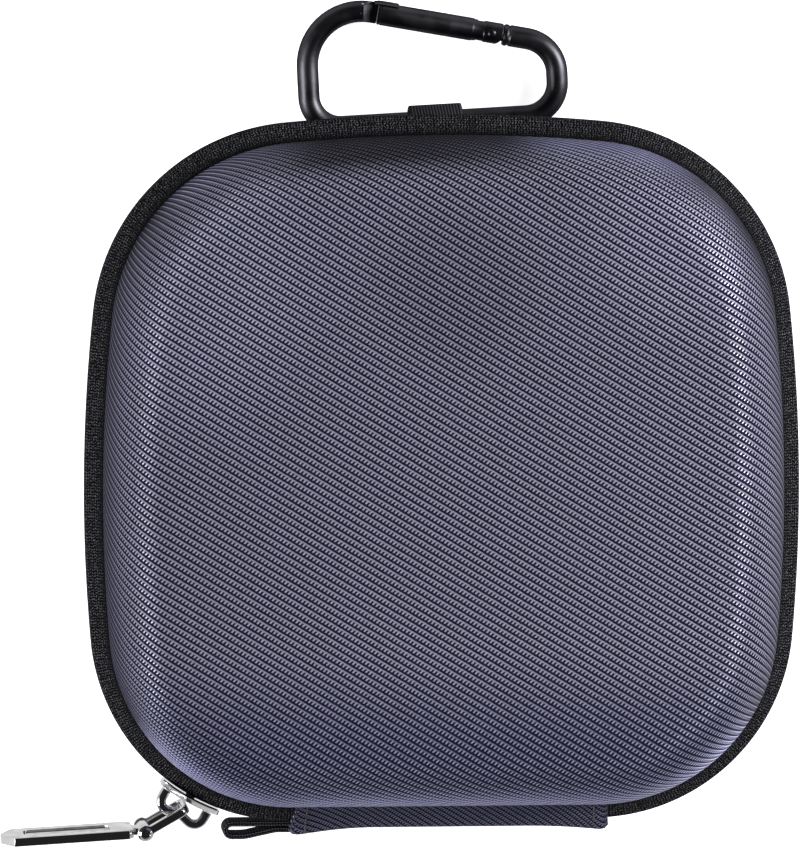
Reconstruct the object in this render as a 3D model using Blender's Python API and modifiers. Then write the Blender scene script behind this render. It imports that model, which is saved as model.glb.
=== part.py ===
# Lens filter case: two moulded shells closed by a zipper, hinged by a fabric spine strip,
# with a webbing loop and a spring-gate carabiner across from the hinge.
# It lies on its back shell: +Z up, +Y toward the carabiner, the hinge at -Y. The origin is in
# the middle of the flat underside, on the line from which the two reaches are measured.

import math

import bmesh
import bpy
from mathutils import Matrix, Vector

for leftover in list(bpy.data.objects):
    bpy.data.objects.remove(leftover, do_unlink=True)

# Outline of the closed case at the zipper, seen from above: four shallow arcs with round
# corners, straight along the hinge.
rim_half_width = 0.0791
rim_far_reach = 0.0831
rim_hinge_reach = 0.0733
rim_side_radius = 0.382
rim_far_corner_radius = 0.0464
rim_hinge_corner_radius = 0.0440
corner_steps = 6
side_steps = 4
far_half_steps = 3

# Section of a shell. An inset is measured inward from the outline, a rise away from the
# parting plane. The wall rounds over into the flat face along a quarter of an ellipse.
cover_edge_inset = 0.0039
cover_edge_rise = 0.0060
round_width = 0.0135
round_rise = 0.0205
round_steps = 5
cover_thickness = 0.0009
core_thickness = 0.0026
lining_thickness = 0.0006
layer_gap = 0.00035
core_edge_rise = 0.0002
lining_edge_rise = 0.0014
seat_gap = 0.0003

# Binding sewn over the lining's edge inside each shell.
binding_thickness = 0.0010
binding_height = 0.0058
binding_edge_rise = 0.0008

# Zipper: two coils with a slot between them, where the slider's web runs, and two tapes that
# slope from the coils to the shells.
coil_width = 0.0022
coil_height = 0.0011
coil_chamfer = 0.0003
chain_slot = 0.0012
tape_thickness = 0.0007
tape_front_inset = 0.0010
tape_bend_inset = 0.0022
tape_seam_length = 0.0013
end_stop_length = 0.0018

# Spine strip, which hinges the shells. Its bulge is measured outward from the outline.
spine_left = -0.0327
spine_right = 0.0365
spine_thickness = 0.0012
spine_seam_length = 0.0013
spine_bulge = 0.0012
spine_left_extra_bulge = 0.0018
spine_right_extra_bulge = 0.0011
spine_extra_fade = 0.0180
spine_steps_along = 10
spine_steps_across = 12
hinge_setback = 0.0032

# Loop of narrow webbing at the zipper's closed end, to hold while zipping.
finger_loop_length = 0.0148
finger_loop_width = 0.0080
finger_loop_ply = 0.0012
finger_loop_gap = 0.0016
finger_loop_eye_share = 0.55

# Foam tray in the back shell with a round well and two finger notches.
tray_top_drop = 0.0080
well_radius = 0.0520
well_floor = 0.0030
notch_radius = 0.0110
notch_reach = 0.0530
round_well_sides = 40
notch_sides = 20

# Pocket in the front shell: a sheet of net with an elastic hem.
pocket_rise = 0.0075
pocket_thickness = 0.0006
pocket_hem_line = 0.0300
pocket_hem_width = 0.0070
pocket_hem_thickness = 0.0014

# Zip slider. Its place is an angle about the centre of the left corner beside the hinge.
slider_angle = math.radians(240.3)
slider_length = 0.0142
slider_plate_height = 0.0076
slider_plate_thickness = 0.0013
slider_inner_length = 0.0080
slider_inner_height = 0.0034
slider_inner_thickness = 0.0012
slider_web_length = 0.0022
slider_web_thickness = 0.0006
slider_running_gap = 0.0003
slider_inner_gap = 0.0007
bail_wire_radius = 0.0009
bail_left_foot = -0.0053
bail_right_foot = 0.0050
bail_left_lobe_height = 0.0044
bail_right_lobe_height = 0.0046
bail_dip_height = 0.0032

# Pull: a wire link in the bail, a rivet and a flat tab, all leaning a little outward at the top.
link_direction = math.radians(209.7)
link_lean = math.radians(-6)
link_length = 0.0104
link_half_height = 0.0040
link_wire_radius = 0.0007
link_bend_radius = 0.0016
knuckle_radius = 0.0018
knuckle_thickness = 0.0012
rivet_radius = 0.0008
rivet_head_radius = 0.0015
rivet_head_thickness = 0.0005
rivet_clearance = 0.0003
tab_turn = math.radians(-26.9)
tab_length = 0.0278
tab_width = 0.0095
tab_thickness = 0.0019
tab_start = 0.0026
tab_corner = 0.0020
tab_lug_radius = 0.0016
tab_lug_height = 0.0060
tab_neck_height = 0.0036
tab_recess_length = 0.0180
tab_recess_width = 0.0050
tab_recess_depth = 0.0005

# Carabiner, in its own frame: origin in the middle of the back bar, +X along the bar, +Y to
# the gate.
carabiner_length = 0.0600
wire_radius = 0.0024
carabiner_bar_setback = 0.0036
carabiner_skew = math.radians(2.9)
nose_corner_radius = 0.0119
gate_corner_radius = 0.0080
bar_gate_corner_radius = 0.0073
bar_nose_corner_radius = 0.0070
gate_pin_along = 0.0135
gate_pin_reach = 0.0190
gate_slope = math.radians(12.9)
gate_length = 0.0255
gate_radius = 0.0024
gate_waist_radius = 0.0022
gate_waist_start = 0.0022
gate_waist_end = 0.0043
gate_end_gap = 0.0004
gate_slot_width = 0.0022
gate_slot_depth = 0.0034
gate_bore_radius = 0.0012
gate_bore_end = 0.0115
gate_pin_radius = 0.00075
gate_pin_length = 0.0042
tongue_thickness = 0.0016
tongue_radius = 0.0018
plunger_radius = 0.0009
plunger_length = 0.0030
spring_radius = 0.0008
spring_wire_radius = 0.00018
spring_curls = 5
spring_points_per_curl = 8

# Webbing loop that carries the carabiner: a strap from the seam, round the bar and back.
strap_width = 0.0118
strap_thickness = 0.0012
strap_bar_clearance = 0.0006
strap_floor_gap = 0.0003
strap_ply_gap = 0.00015
strap_lean = math.radians(25)
strap_bend_height = 0.0140
strap_bend_radius = 0.0040
strap_wall_gap = 0.0004
strap_top_drop = 0.0056

# Finish of modelled curves.
fillet_step = math.radians(14)
smooth_angle = math.radians(35)
pin_sides = 16
overrun = 0.0010
same_point = 0.000001

# Levels and places that follow from the sizes above.
parting_height = cover_edge_rise + round_rise
hinge_line = -(rim_hinge_reach + hinge_setback)
core_depth = cover_thickness + layer_gap
lining_depth = core_depth + core_thickness + layer_gap
interior_depth = lining_depth + lining_thickness
core_outer_inset = cover_edge_inset + core_depth
interior_inset = cover_edge_inset + interior_depth
carabiner_bar_reach = rim_far_reach - carabiner_bar_setback
side_centre = Vector((rim_half_width - rim_side_radius, 0))
far_centre = Vector((0, rim_far_reach - rim_side_radius))


def centre_beside_both(first, second, distance):
    """The point at one distance from two centres, on the side away from the origin."""
    across = second - first
    rise = math.sqrt(distance**2 - (across.length / 2) ** 2)
    return (first + second) / 2 + Vector((-across.y, across.x)).normalized() * rise


far_corner_centre = centre_beside_both(
    side_centre, far_centre, rim_side_radius - rim_far_corner_radius
)
hinge_corner_drop = rim_hinge_reach - rim_hinge_corner_radius
hinge_corner_across = side_centre.x + math.sqrt(
    (rim_side_radius - rim_hinge_corner_radius) ** 2 - hinge_corner_drop**2
)
hinge_corner_centre = Vector((hinge_corner_across, -hinge_corner_drop))


def direction(angle):
    return Vector((math.cos(angle), math.sin(angle)))


def angle_from(centre, point):
    return math.atan2(point.y - centre.y, point.x - centre.x)


def mirrored(station):
    angle, point, normal = station
    return (math.pi - angle, Vector((-point.x, point.y)), Vector((-normal.x, normal.y)))


def outline_stations():
    """Places round the outline from the hinge's right corner, each with its outward normal."""
    low = angle_from(side_centre, hinge_corner_centre)
    high = angle_from(side_centre, far_corner_centre)
    top = angle_from(far_centre, far_corner_centre)
    right = math.pi / 2
    runs = [
        (hinge_corner_centre, rim_hinge_corner_radius, -right, low, corner_steps),
        (side_centre, rim_side_radius, low, high, side_steps),
        (far_corner_centre, rim_far_corner_radius, high, top, corner_steps),
        (far_centre, rim_side_radius, top, right, far_half_steps),
    ]
    half = []
    for centre, radius, start, end, steps in runs:
        for step in range(steps):
            angle = start + (end - start) * step / steps
            half.append((angle, centre + direction(angle) * radius, direction(angle)))
    middle = (right, far_centre + direction(right) * rim_side_radius, direction(right))
    return half + [middle] + [mirrored(station) for station in reversed(half)]


closed_outline = outline_stations()


def hinge_side_station(along):
    """The station on the hinge side at a given x, on the straight or on a corner beside it."""
    past = abs(along) - hinge_corner_across
    if past <= 0:
        angle = -math.pi / 2 + past / hinge_corner_across
        station = (angle, Vector((abs(along), -rim_hinge_reach)), Vector((0, -1)))
    else:
        angle = -math.pi / 2 + math.asin(past / rim_hinge_corner_radius)
        point = hinge_corner_centre + direction(angle) * rim_hinge_corner_radius
        station = (angle, point, direction(angle))
    return station if along > 0 else mirrored(station)


def corner_station(angle):
    """The station at an angle about the centre of the left corner beside the hinge."""
    centre = Vector((-hinge_corner_centre.x, hinge_corner_centre.y))
    return (angle, centre + direction(angle) * rim_hinge_corner_radius, direction(angle))


def open_outline(start, end):
    """The stations from start round to end, against the clock."""
    inside = [station for station in closed_outline if start[0] < station[0] < end[0]]
    return [start] + inside + [end]


case = bpy.data.collections.new("lens_filter_case")
cutters = bpy.data.collections.new("cutters")
bpy.context.scene.collection.children.link(case)
bpy.context.scene.collection.children.link(cutters)


def material(name, colour, roughness, metallic=0.0):
    made = bpy.data.materials.new(name)
    made.use_nodes = True
    shader = made.node_tree.nodes["Principled BSDF"]
    shader.inputs["Base Color"].default_value = (*colour, 1.0)
    shader.inputs["Roughness"].default_value = roughness
    shader.inputs["Metallic"].default_value = metallic
    return made


def joint_frame(name, parent, place):
    """An empty on a joint's axis. Its place is a matrix in the parent's frame."""
    empty = bpy.data.objects.new(name, None)
    case.objects.link(empty)
    empty.parent = parent
    empty.matrix_local = place
    return empty


def finish(obj, parent, look):
    obj.parent = parent
    obj.data.materials.clear()
    obj.data.materials.append(look)
    if obj.type == "MESH":
        obj.data.shade_smooth()
        obj.data.set_sharp_from_angle(angle=smooth_angle)
    return obj


def helper(obj):
    """Turns an object into a cutter or a piece that is joined to another."""
    for collection in list(obj.users_collection):
        collection.objects.unlink(obj)
    cutters.objects.link(obj)
    obj.hide_render = True
    obj.display_type = "WIRE"
    return obj


def from_bmesh(name, bm):
    mesh = bpy.data.meshes.new(name)
    bm.to_mesh(mesh)
    bm.free()
    obj = bpy.data.objects.new(name, mesh)
    case.objects.link(obj)
    return obj


def loft(name, rings, closed):
    """A solid through rings of equal count, closed on itself or capped at both ends."""
    bm = bmesh.new()
    rows = [[bm.verts.new(point) for point in ring] for ring in rings]
    pairs = list(zip(rows, rows[1:]))
    if closed:
        pairs.append((rows[-1], rows[0]))
    else:
        bm.faces.new(rows[0])
        bm.faces.new(rows[-1])
    for near, far in pairs:
        for index in range(len(near)):
            following = (index + 1) % len(near)
            bm.faces.new((near[index], near[following], far[following], far[index]))
    bmesh.ops.recalc_face_normals(bm, faces=bm.faces)
    return from_bmesh(name, bm)


def shell(name, rings, upward, thickness):
    """An open bowl through rings, from its edge to its flat face, given its thickness."""
    bm = bmesh.new()
    rows = [[bm.verts.new(point) for point in ring] for ring in rings]
    for near, far in zip(rows, rows[1:]):
        for index in range(len(near)):
            following = (index + 1) % len(near)
            bm.faces.new((near[index], near[following], far[following], far[index]))
    flat = bm.faces.new(rows[-1])
    bmesh.ops.recalc_face_normals(bm, faces=bm.faces)
    flat.normal_update()
    if (flat.normal.z > 0) != upward:
        bmesh.ops.reverse_faces(bm, faces=bm.faces)
    obj = from_bmesh(name, bm)
    wall = obj.modifiers.new("wall", "SOLIDIFY")
    wall.thickness = thickness
    wall.offset = -1
    wall.use_even_offset = True
    return obj


def box(name, low, high):
    bm = bmesh.new()
    bmesh.ops.create_cube(bm, size=1)
    low, high = Vector(low), Vector(high)
    size = high - low
    bmesh.ops.scale(bm, vec=size, verts=bm.verts)
    bmesh.ops.translate(bm, vec=(low + high) / 2, verts=bm.verts)
    return from_bmesh(name, bm)


def pin(name, radius, low, high, sides=pin_sides, axis="Z", centre=(0, 0)):
    """A cylinder from low to high along Z, or along X, with its centre given across it."""
    bm = bmesh.new()
    bmesh.ops.create_cone(
        bm,
        cap_ends=True,
        segments=sides,
        radius1=radius,
        radius2=radius,
        depth=high - low,
        matrix=Matrix.Translation((*centre, (low + high) / 2)),
    )
    if axis == "X":
        bmesh.ops.rotate(bm, matrix=Matrix.Rotation(math.pi / 2, 3, "Y"), verts=bm.verts)
    return from_bmesh(name, bm)


def combine(obj, other, operation):
    """Joins or cuts with a helper in the same frame."""
    helper(other)
    modifier = obj.modifiers.new(operation.lower(), "BOOLEAN")
    modifier.operation = operation
    modifier.object = other
    return modifier


def bevel(obj, width, segments=1, angle=math.radians(40)):
    modifier = obj.modifiers.new("edges", "BEVEL")
    modifier.width = width
    modifier.segments = segments
    modifier.limit_method = "ANGLE"
    modifier.angle_limit = angle
    return modifier


def carried(obj, parent, look):
    """Finishes a piece whose helpers move with it."""
    finish(obj, parent, look)
    for modifier in obj.modifiers:
        if modifier.type == "BOOLEAN":
            modifier.object.parent = parent
    return obj


def tube(name, points, radius, resolution, closed=False):
    """A round wire through points, as a mesh with welded caps."""
    data = bpy.data.curves.new(name, "CURVE")
    data.dimensions = "3D"
    data.bevel_depth = radius
    data.bevel_resolution = resolution
    data.use_fill_caps = True
    spline = data.splines.new("POLY")
    spline.points.add(len(points) - 1)
    for target, point in zip(spline.points, points):
        target.co = (*point, 1)
    spline.use_cyclic_u = closed
    curve = bpy.data.objects.new(name, data)
    case.objects.link(curve)
    bpy.context.view_layer.update()
    graph = bpy.context.evaluated_depsgraph_get()
    mesh = bpy.data.meshes.new_from_object(curve.evaluated_get(graph))
    bpy.data.objects.remove(curve, do_unlink=True)
    bm = bmesh.new()
    bm.from_mesh(mesh)
    bmesh.ops.remove_doubles(bm, verts=bm.verts, dist=radius / 100)
    bmesh.ops.recalc_face_normals(bm, faces=bm.faces)
    bpy.data.meshes.remove(mesh)
    return from_bmesh(name, bm)


def slab(name, outline, half_thickness):
    """A flat plate from an outline, as thick each way from its plane."""
    data = bpy.data.curves.new(name, "CURVE")
    data.dimensions = "2D"
    data.fill_mode = "BOTH"
    data.extrude = half_thickness
    spline = data.splines.new("POLY")
    spline.points.add(len(outline) - 1)
    for target, point in zip(spline.points, outline):
        target.co = (point[0], point[1], 0, 1)
    spline.use_cyclic_u = True
    curve = bpy.data.objects.new(name, data)
    case.objects.link(curve)
    bpy.context.view_layer.update()
    graph = bpy.context.evaluated_depsgraph_get()
    mesh = bpy.data.meshes.new_from_object(curve.evaluated_get(graph))
    bpy.data.objects.remove(curve, do_unlink=True)
    bm = bmesh.new()
    bm.from_mesh(mesh)
    bmesh.ops.remove_doubles(bm, verts=bm.verts, dist=half_thickness / 100)
    bmesh.ops.recalc_face_normals(bm, faces=bm.faces)
    bpy.data.meshes.remove(mesh)
    return from_bmesh(name, bm)


def rounded_route(corners):
    """Points along a bent line. Each corner has its place and its bend radius."""
    points = [corners[0][0].copy()]
    for (before, _), (corner, radius), (after, _) in zip(corners, corners[1:], corners[2:]):
        incoming = (corner - before).normalized()
        outgoing = (after - corner).normalized()
        turn = incoming.angle_signed(outgoing)
        if radius == 0 or turn == 0:
            points.append(corner.copy())
            continue
        tangent = radius * math.tan(abs(turn) / 2)
        start = corner - incoming * tangent
        side = Vector((-incoming.y, incoming.x)) * (-1 if turn > 0 else 1)
        centre = start + side * radius
        steps = max(2, math.ceil(abs(turn) / fillet_step))
        for step in range(steps + 1):
            arm = start - centre
            arm.rotate(Matrix.Rotation(-turn * step / steps, 2))
            if (centre + arm - points[-1]).length > same_point:
                points.append(centre + arm)
    points.append(corners[-1][0].copy())
    return points


def band_outline(path, thickness):
    """The closed outline of a band of one thickness along a flat path."""
    left, right = [], []
    for index, point in enumerate(path):
        before = path[max(index - 1, 0)]
        after = path[min(index + 1, len(path) - 1)]
        if index in (0, len(path) - 1):
            along = (after - before).normalized()
            stretch = 1
        else:
            first = (point - before).normalized()
            second = (after - point).normalized()
            along = (first + second).normalized()
            stretch = 1 / max(first.dot(along), 0.5)
        normal = Vector((-along.y, along.x)) * (thickness / 2 * stretch)
        left.append(point + normal)
        right.append(point - normal)
    return left + right[::-1]


def at(point, rise, side):
    """A point of the case's plan at a rise above (side 1) or below (side -1) the parting."""
    return Vector((point.x, point.y, parting_height + side * rise))


def swept(name, section, stations, side, closed, offset):
    """A band of one section, as insets and rises, along the outline."""
    rings = []
    for _, point, normal in stations:
        rings.append([at(point - normal * inset, rise, side) - offset for inset, rise in section])
    return loft(name, rings, closed)


def wall_profile(depth, edge_rise):
    """Insets and rises of a shell surface at a depth below the cover, from edge to flat face."""
    profile = []
    if edge_rise < cover_edge_rise:
        profile.append((cover_edge_inset + depth, edge_rise))
    for step in range(round_steps + 1):
        angle = math.pi / 2 * step / round_steps
        normal = Vector((math.cos(angle) / round_width, math.sin(angle) / round_rise)).normalized()
        across = round_width * math.cos(angle) - depth * normal.x
        rise = round_rise * math.sin(angle) - depth * normal.y
        profile.append((cover_edge_inset + round_width - across, cover_edge_rise + rise))
    return profile


def shell_layer(name, depth, edge_rise, thickness, side, offset):
    rings = []
    for inset, rise in wall_profile(depth, edge_rise):
        rings.append(
            [at(point - normal * inset, rise, side) - offset for _, point, normal in closed_outline]
        )
    return shell(name, rings, side > 0, thickness)


# Frames of the moving bodies.
hinge_place = Vector((0, hinge_line, parting_height))
left_corner = Vector((-hinge_corner_centre.x, hinge_corner_centre.y, parting_height))
case_frame = joint_frame("case_frame", None, Matrix.Identity(4))
lid_frame = joint_frame("lid_hinge_frame", case_frame, Matrix.Translation(hinge_place))
slider_frame = joint_frame(
    "zip_slider_frame",
    case_frame,
    Matrix.Translation(left_corner) @ Matrix.Rotation(slider_angle, 4, "Z"),
)

cover_look = material("navy_weave", (0.085, 0.083, 0.135), 0.75)
core_look = material("black_eva_foam", (0.03, 0.03, 0.032), 0.85)
lining_look = material("grey_tricot", (0.06, 0.06, 0.065), 0.9)
tape_look = material("black_knit_tape", (0.022, 0.022, 0.025), 0.85)
coil_look = material("black_nylon_coil", (0.018, 0.018, 0.02), 0.45)
foam_look = material("grey_foam", (0.045, 0.045, 0.048), 0.95)
net_look = material("black_net", (0.03, 0.03, 0.03), 0.8)
webbing_look = material("black_webbing", (0.02, 0.02, 0.023), 0.8)
chrome_look = material("bright_nickel", (0.75, 0.74, 0.73), 0.12, 1.0)
black_metal_look = material("black_anodised", (0.018, 0.018, 0.02), 0.3, 0.6)
steel_look = material("spring_steel", (0.45, 0.45, 0.46), 0.3, 1.0)

# Shell layers, binding, coil and tape of each half. The front half is carried by the hinge.
halves = [
    ("base", -1, case_frame, Vector((0, 0, 0))),
    ("lid", 1, lid_frame, hinge_place),
]
coil_inner_rise = chain_slot / 2
coil_outer_rise = coil_inner_rise + coil_height
coil_section = [
    (coil_chamfer, coil_inner_rise),
    (coil_width, coil_inner_rise),
    (coil_width, coil_outer_rise - coil_chamfer),
    (coil_width - coil_chamfer, coil_outer_rise),
    (coil_chamfer, coil_outer_rise),
    (0, coil_outer_rise - coil_chamfer),
    (0, coil_inner_rise + coil_chamfer),
]
tape_seam_inset = core_outer_inset - seat_gap - tape_thickness / 2
tape_front_rise = coil_outer_rise + seat_gap + tape_thickness / 2
tape_top_rise = cover_edge_rise - seat_gap
tape_path = [
    Vector((tape_front_inset, tape_front_rise)),
    Vector((tape_bend_inset, tape_front_rise)),
    Vector((tape_seam_inset, tape_top_rise - tape_seam_length)),
    Vector((tape_seam_inset, tape_top_rise)),
]
tape_section = [tuple(point) for point in band_outline(tape_path, tape_thickness)]
binding_inset = interior_inset + seat_gap
binding_section = [
    (binding_inset, binding_edge_rise),
    (binding_inset + binding_thickness, binding_edge_rise),
    (binding_inset + binding_thickness, binding_edge_rise + binding_height),
    (binding_inset, binding_edge_rise + binding_height),
]
slider_half_turn = (slider_length / 2 + seat_gap) / rim_hinge_corner_radius
stop_turn = end_stop_length / rim_hinge_corner_radius
stop_gap_turn = seat_gap / rim_hinge_corner_radius
tape_outline = open_outline(
    hinge_side_station(spine_right + seat_gap), hinge_side_station(spine_left - seat_gap)
)
right_stop_end = tape_outline[0][0] + stop_gap_turn
right_chain_end = right_stop_end + stop_turn + stop_gap_turn
left_chain_end = slider_angle + slider_half_turn
lid_chain_end = slider_angle - slider_half_turn - stop_gap_turn


def right_corner_station(angle):
    return mirrored(corner_station(math.pi - angle))


chain_outlines = {
    "base": open_outline(right_corner_station(right_chain_end), corner_station(left_chain_end)),
    "lid": open_outline(right_corner_station(right_chain_end), corner_station(lid_chain_end)),
}
for half, side, frame, offset in halves:
    cover = shell_layer(half + "_cover", 0, cover_edge_rise, cover_thickness, side, offset)
    finish(cover, frame, cover_look)
    core = shell_layer(half + "_core", core_depth, core_edge_rise, core_thickness, side, offset)
    finish(core, frame, core_look)
    lining = shell_layer(
        half + "_lining", lining_depth, lining_edge_rise, lining_thickness, side, offset
    )
    finish(lining, frame, lining_look)
    binding = swept(half + "_binding", binding_section, closed_outline, side, True, offset)
    finish(binding, frame, tape_look)
    coil = swept(half + "_zip_coil", coil_section, chain_outlines[half], side, False, offset)
    finish(coil, frame, coil_look)
    tape = swept(half + "_zip_tape", tape_section, tape_outline, side, False, offset)
    finish(tape, frame, tape_look)

# Crimped end stops on the back shell's coil.
stop_section = [
    (0, coil_inner_rise - seat_gap),
    (coil_width, coil_inner_rise - seat_gap),
    (coil_width, coil_outer_rise),
    (0, coil_outer_rise),
]
left_stop_start = left_chain_end + stop_gap_turn
left_stop = [corner_station(left_stop_start), corner_station(left_stop_start + stop_turn)]
right_stop = [
    right_corner_station(right_stop_end),
    right_corner_station(right_stop_end + stop_turn),
]
for name, stations in (("zip_stop_left", left_stop), ("zip_stop_right", right_stop)):
    stop = swept(name, stop_section, stations, -1, False, Vector((0, 0, 0)))
    finish(stop, case_frame, steel_look)


def spine_surface():
    """The strip's middle surface: seams on both shells and a bulge between them."""
    seam_inset = core_outer_inset - seat_gap - spine_thickness / 2
    top = cover_edge_rise - seat_gap
    foot = top - spine_seam_length
    bm = bmesh.new()
    rows = []
    for step_along in range(spine_steps_along + 1):
        along = spine_left + (spine_right - spine_left) * step_along / spine_steps_along
        left_fade = max(0, 1 - (along - spine_left) / spine_extra_fade)
        right_fade = max(0, 1 - (spine_right - along) / spine_extra_fade)
        bulge = (
            spine_bulge
            + spine_left_extra_bulge * left_fade**2
            + spine_right_extra_bulge * right_fade**2
        )
        row = []
        for step in range(spine_steps_across + 1):
            rise = -top + 2 * top * step / spine_steps_across
            lift = math.cos(math.pi / 2 * min(abs(rise) / foot, 1)) ** 2
            inset = seam_inset - (seam_inset + bulge) * lift
            row.append(
                bm.verts.new((along, -rim_hinge_reach + inset, parting_height + rise))
            )
        rows.append(row)
    for near, far in zip(rows, rows[1:]):
        for index in range(spine_steps_across):
            bm.faces.new((near[index], far[index], far[index + 1], near[index + 1]))
    obj = from_bmesh("spine_strip", bm)
    wall = obj.modifiers.new("cloth", "SOLIDIFY")
    wall.thickness = spine_thickness
    wall.offset = 0
    wall.use_even_offset = True
    return finish(obj, case_frame, cover_look)


spine_surface()

# Finger loop: webbing folded on itself beside the spine strip, its eye toward the slider.
loop_path_length = finger_loop_length - finger_loop_ply / 2
loop_eye = loop_path_length * finger_loop_eye_share
loop_eye_spread = finger_loop_gap + finger_loop_ply
loop_root_spread = seat_gap / 2 + finger_loop_ply
loop_root = spine_left - seat_gap
loop_path = rounded_route(
    [
        (Vector((0, loop_root_spread / 2)), 0),
        (Vector((-(loop_path_length - loop_eye), loop_root_spread / 2)), finger_loop_ply),
        (Vector((-(loop_path_length - loop_eye / 2), loop_eye_spread / 2)), finger_loop_ply),
        (Vector((-loop_path_length, loop_eye_spread / 2)), loop_eye_spread / 2),
        (Vector((-loop_path_length, -loop_eye_spread / 2)), loop_eye_spread / 2),
        (Vector((-(loop_path_length - loop_eye / 2), -loop_eye_spread / 2)), finger_loop_ply),
        (Vector((-(loop_path_length - loop_eye), -loop_root_spread / 2)), finger_loop_ply),
        (Vector((0, -loop_root_spread / 2)), 0),
    ]
)
finger_loop = slab("finger_loop", band_outline(loop_path, finger_loop_ply), finger_loop_width / 2)
loop_reach = rim_hinge_reach + seat_gap + loop_eye_spread / 2 + finger_loop_ply / 2
finger_loop.location = (
    loop_root,
    -loop_reach,
    parting_height - seat_gap - finger_loop_width / 2,
)
finish(finger_loop, case_frame, webbing_look)

# Foam tray, shaped to the back shell's lining, with its well and notches cut from above.
tray_depth = interior_depth + seat_gap
tray_rings = []
for inset, rise in [(cover_edge_inset + tray_depth, tray_top_drop)] + wall_profile(
    tray_depth, cover_edge_rise
)[1:]:
    tray_rings.append([at(point - normal * inset, rise, -1) for _, point, normal in closed_outline])
foam_tray = loft("foam_tray", tray_rings, False)
tray_top = parting_height - tray_top_drop
well_bottom = tray_depth + well_floor
well = pin("well_cut", well_radius, well_bottom, tray_top + overrun, round_well_sides)
combine(foam_tray, well, "DIFFERENCE")
for name, across in (("left_notch_cut", -notch_reach), ("right_notch_cut", notch_reach)):
    notch = pin(name, notch_radius, well_bottom, tray_top + overrun, notch_sides, "Z", (across, 0))
    combine(foam_tray, notch, "DIFFERENCE")
finish(foam_tray, case_frame, foam_look)


def pocket_piece(name, near, far, low, thickness, look):
    """A flat piece that spans the front shell between two lines across it."""
    inset = interior_inset + seat_gap
    ring = [at(point - normal * inset, low, 1) - hinge_place for _, point, normal in closed_outline]
    top = [point + Vector((0, 0, thickness)) for point in ring]
    obj = loft(name, [ring, top], False)
    bm = bmesh.new()
    bm.from_mesh(obj.data)
    for line, normal in ((near, Vector((0, -1, 0))), (far, Vector((0, 1, 0)))):
        if line is None:
            continue
        found = bmesh.ops.bisect_plane(
            bm,
            geom=bm.verts[:] + bm.edges[:] + bm.faces[:],
            plane_co=Vector((0, line - hinge_line, 0)),
            plane_no=normal,
            clear_outer=True,
        )
        edges = [item for item in found["geom_cut"] if isinstance(item, bmesh.types.BMEdge)]
        bmesh.ops.edgeloop_fill(bm, edges=edges)
    bmesh.ops.recalc_face_normals(bm, faces=bm.faces)
    bm.to_mesh(obj.data)
    bm.free()
    return finish(obj, lid_frame, look)


pocket_piece("mesh_pocket", None, pocket_hem_line, pocket_rise, pocket_thickness, net_look)
pocket_piece(
    "pocket_hem",
    pocket_hem_line + seat_gap,
    pocket_hem_line + seat_gap + pocket_hem_width,
    pocket_rise,
    pocket_hem_thickness,
    webbing_look,
)

# Zip slider, in its frame: +X out from the corner's centre, +Y along the chain.
plate_inner = rim_hinge_corner_radius + slider_running_gap
plate_outer = plate_inner + slider_plate_thickness
inner_plate_outer = rim_hinge_corner_radius - coil_width - slider_inner_gap
zip_slider = box(
    "zip_slider",
    (plate_inner, -slider_length / 2, -slider_plate_height / 2),
    (plate_outer, slider_length / 2, slider_plate_height / 2),
)
bevel(zip_slider, slider_plate_thickness / 4)
inner_plate = box(
    "slider_inner_plate",
    (inner_plate_outer - slider_inner_thickness, -slider_inner_length / 2, -slider_inner_height / 2),
    (inner_plate_outer, slider_inner_length / 2, slider_inner_height / 2),
)
web = box(
    "slider_web",
    (
        inner_plate_outer - slider_inner_thickness / 2,
        -slider_web_length / 2,
        -slider_web_thickness / 2,
    ),
    (
        plate_inner + slider_plate_thickness / 2,
        slider_web_length / 2,
        slider_web_thickness / 2,
    ),
)
combine(zip_slider, web, "UNION")
combine(zip_slider, inner_plate, "UNION")
carried(zip_slider, slider_frame, chrome_look)

# Bail: a wire with two lobes on the slider's outer plate.
bail_foot = plate_outer + seat_gap
bail_corners = [
    (Vector((bail_foot, bail_left_foot)), 0),
    (Vector((plate_outer + bail_left_lobe_height, bail_left_foot)), bail_wire_radius * 2),
    (Vector((plate_outer + bail_dip_height, 0)), bail_wire_radius * 2),
    (Vector((plate_outer + bail_right_lobe_height, bail_right_foot)), bail_wire_radius * 2),
    (Vector((bail_foot, bail_right_foot)), 0),
]
bail_points = [(point.x, point.y, 0) for point in rounded_route(bail_corners)]
slider_bail = tube("slider_bail", bail_points, bail_wire_radius, 2)
finish(slider_bail, slider_frame, chrome_look)

# Pull link: its standing wire is behind the bail, its two arms reach out to the rivet.
link_bar_out = plate_outer + (bail_dip_height - bail_wire_radius) / 2
link_frame = joint_frame(
    "pull_link_frame",
    slider_frame,
    Matrix.Translation((link_bar_out, 0, 0))
    @ Matrix.Rotation(link_direction - slider_angle, 4, "Z")
    @ Matrix.Rotation(link_lean, 4, "X"),
)
link_corners = [
    (Vector((link_length, link_half_height)), 0),
    (Vector((0, link_half_height)), link_bend_radius),
    (Vector((0, -link_half_height)), link_bend_radius),
    (Vector((link_length, -link_half_height)), 0),
]
link_points = [(point.x, 0, point.y) for point in rounded_route(link_corners)]
pull_link = tube("pull_link", link_points, link_wire_radius, 1)
hole_radius = rivet_radius + rivet_clearance
knuckle_low = link_half_height - knuckle_thickness / 2
knuckle_high = link_half_height + knuckle_thickness / 2
for name, low, high in (
    ("upper_knuckle", knuckle_low, knuckle_high),
    ("lower_knuckle", -knuckle_high, -knuckle_low),
):
    knuckle = pin(name, knuckle_radius, low, high, pin_sides, "Z", (link_length, 0))
    combine(pull_link, knuckle, "UNION")
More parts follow.
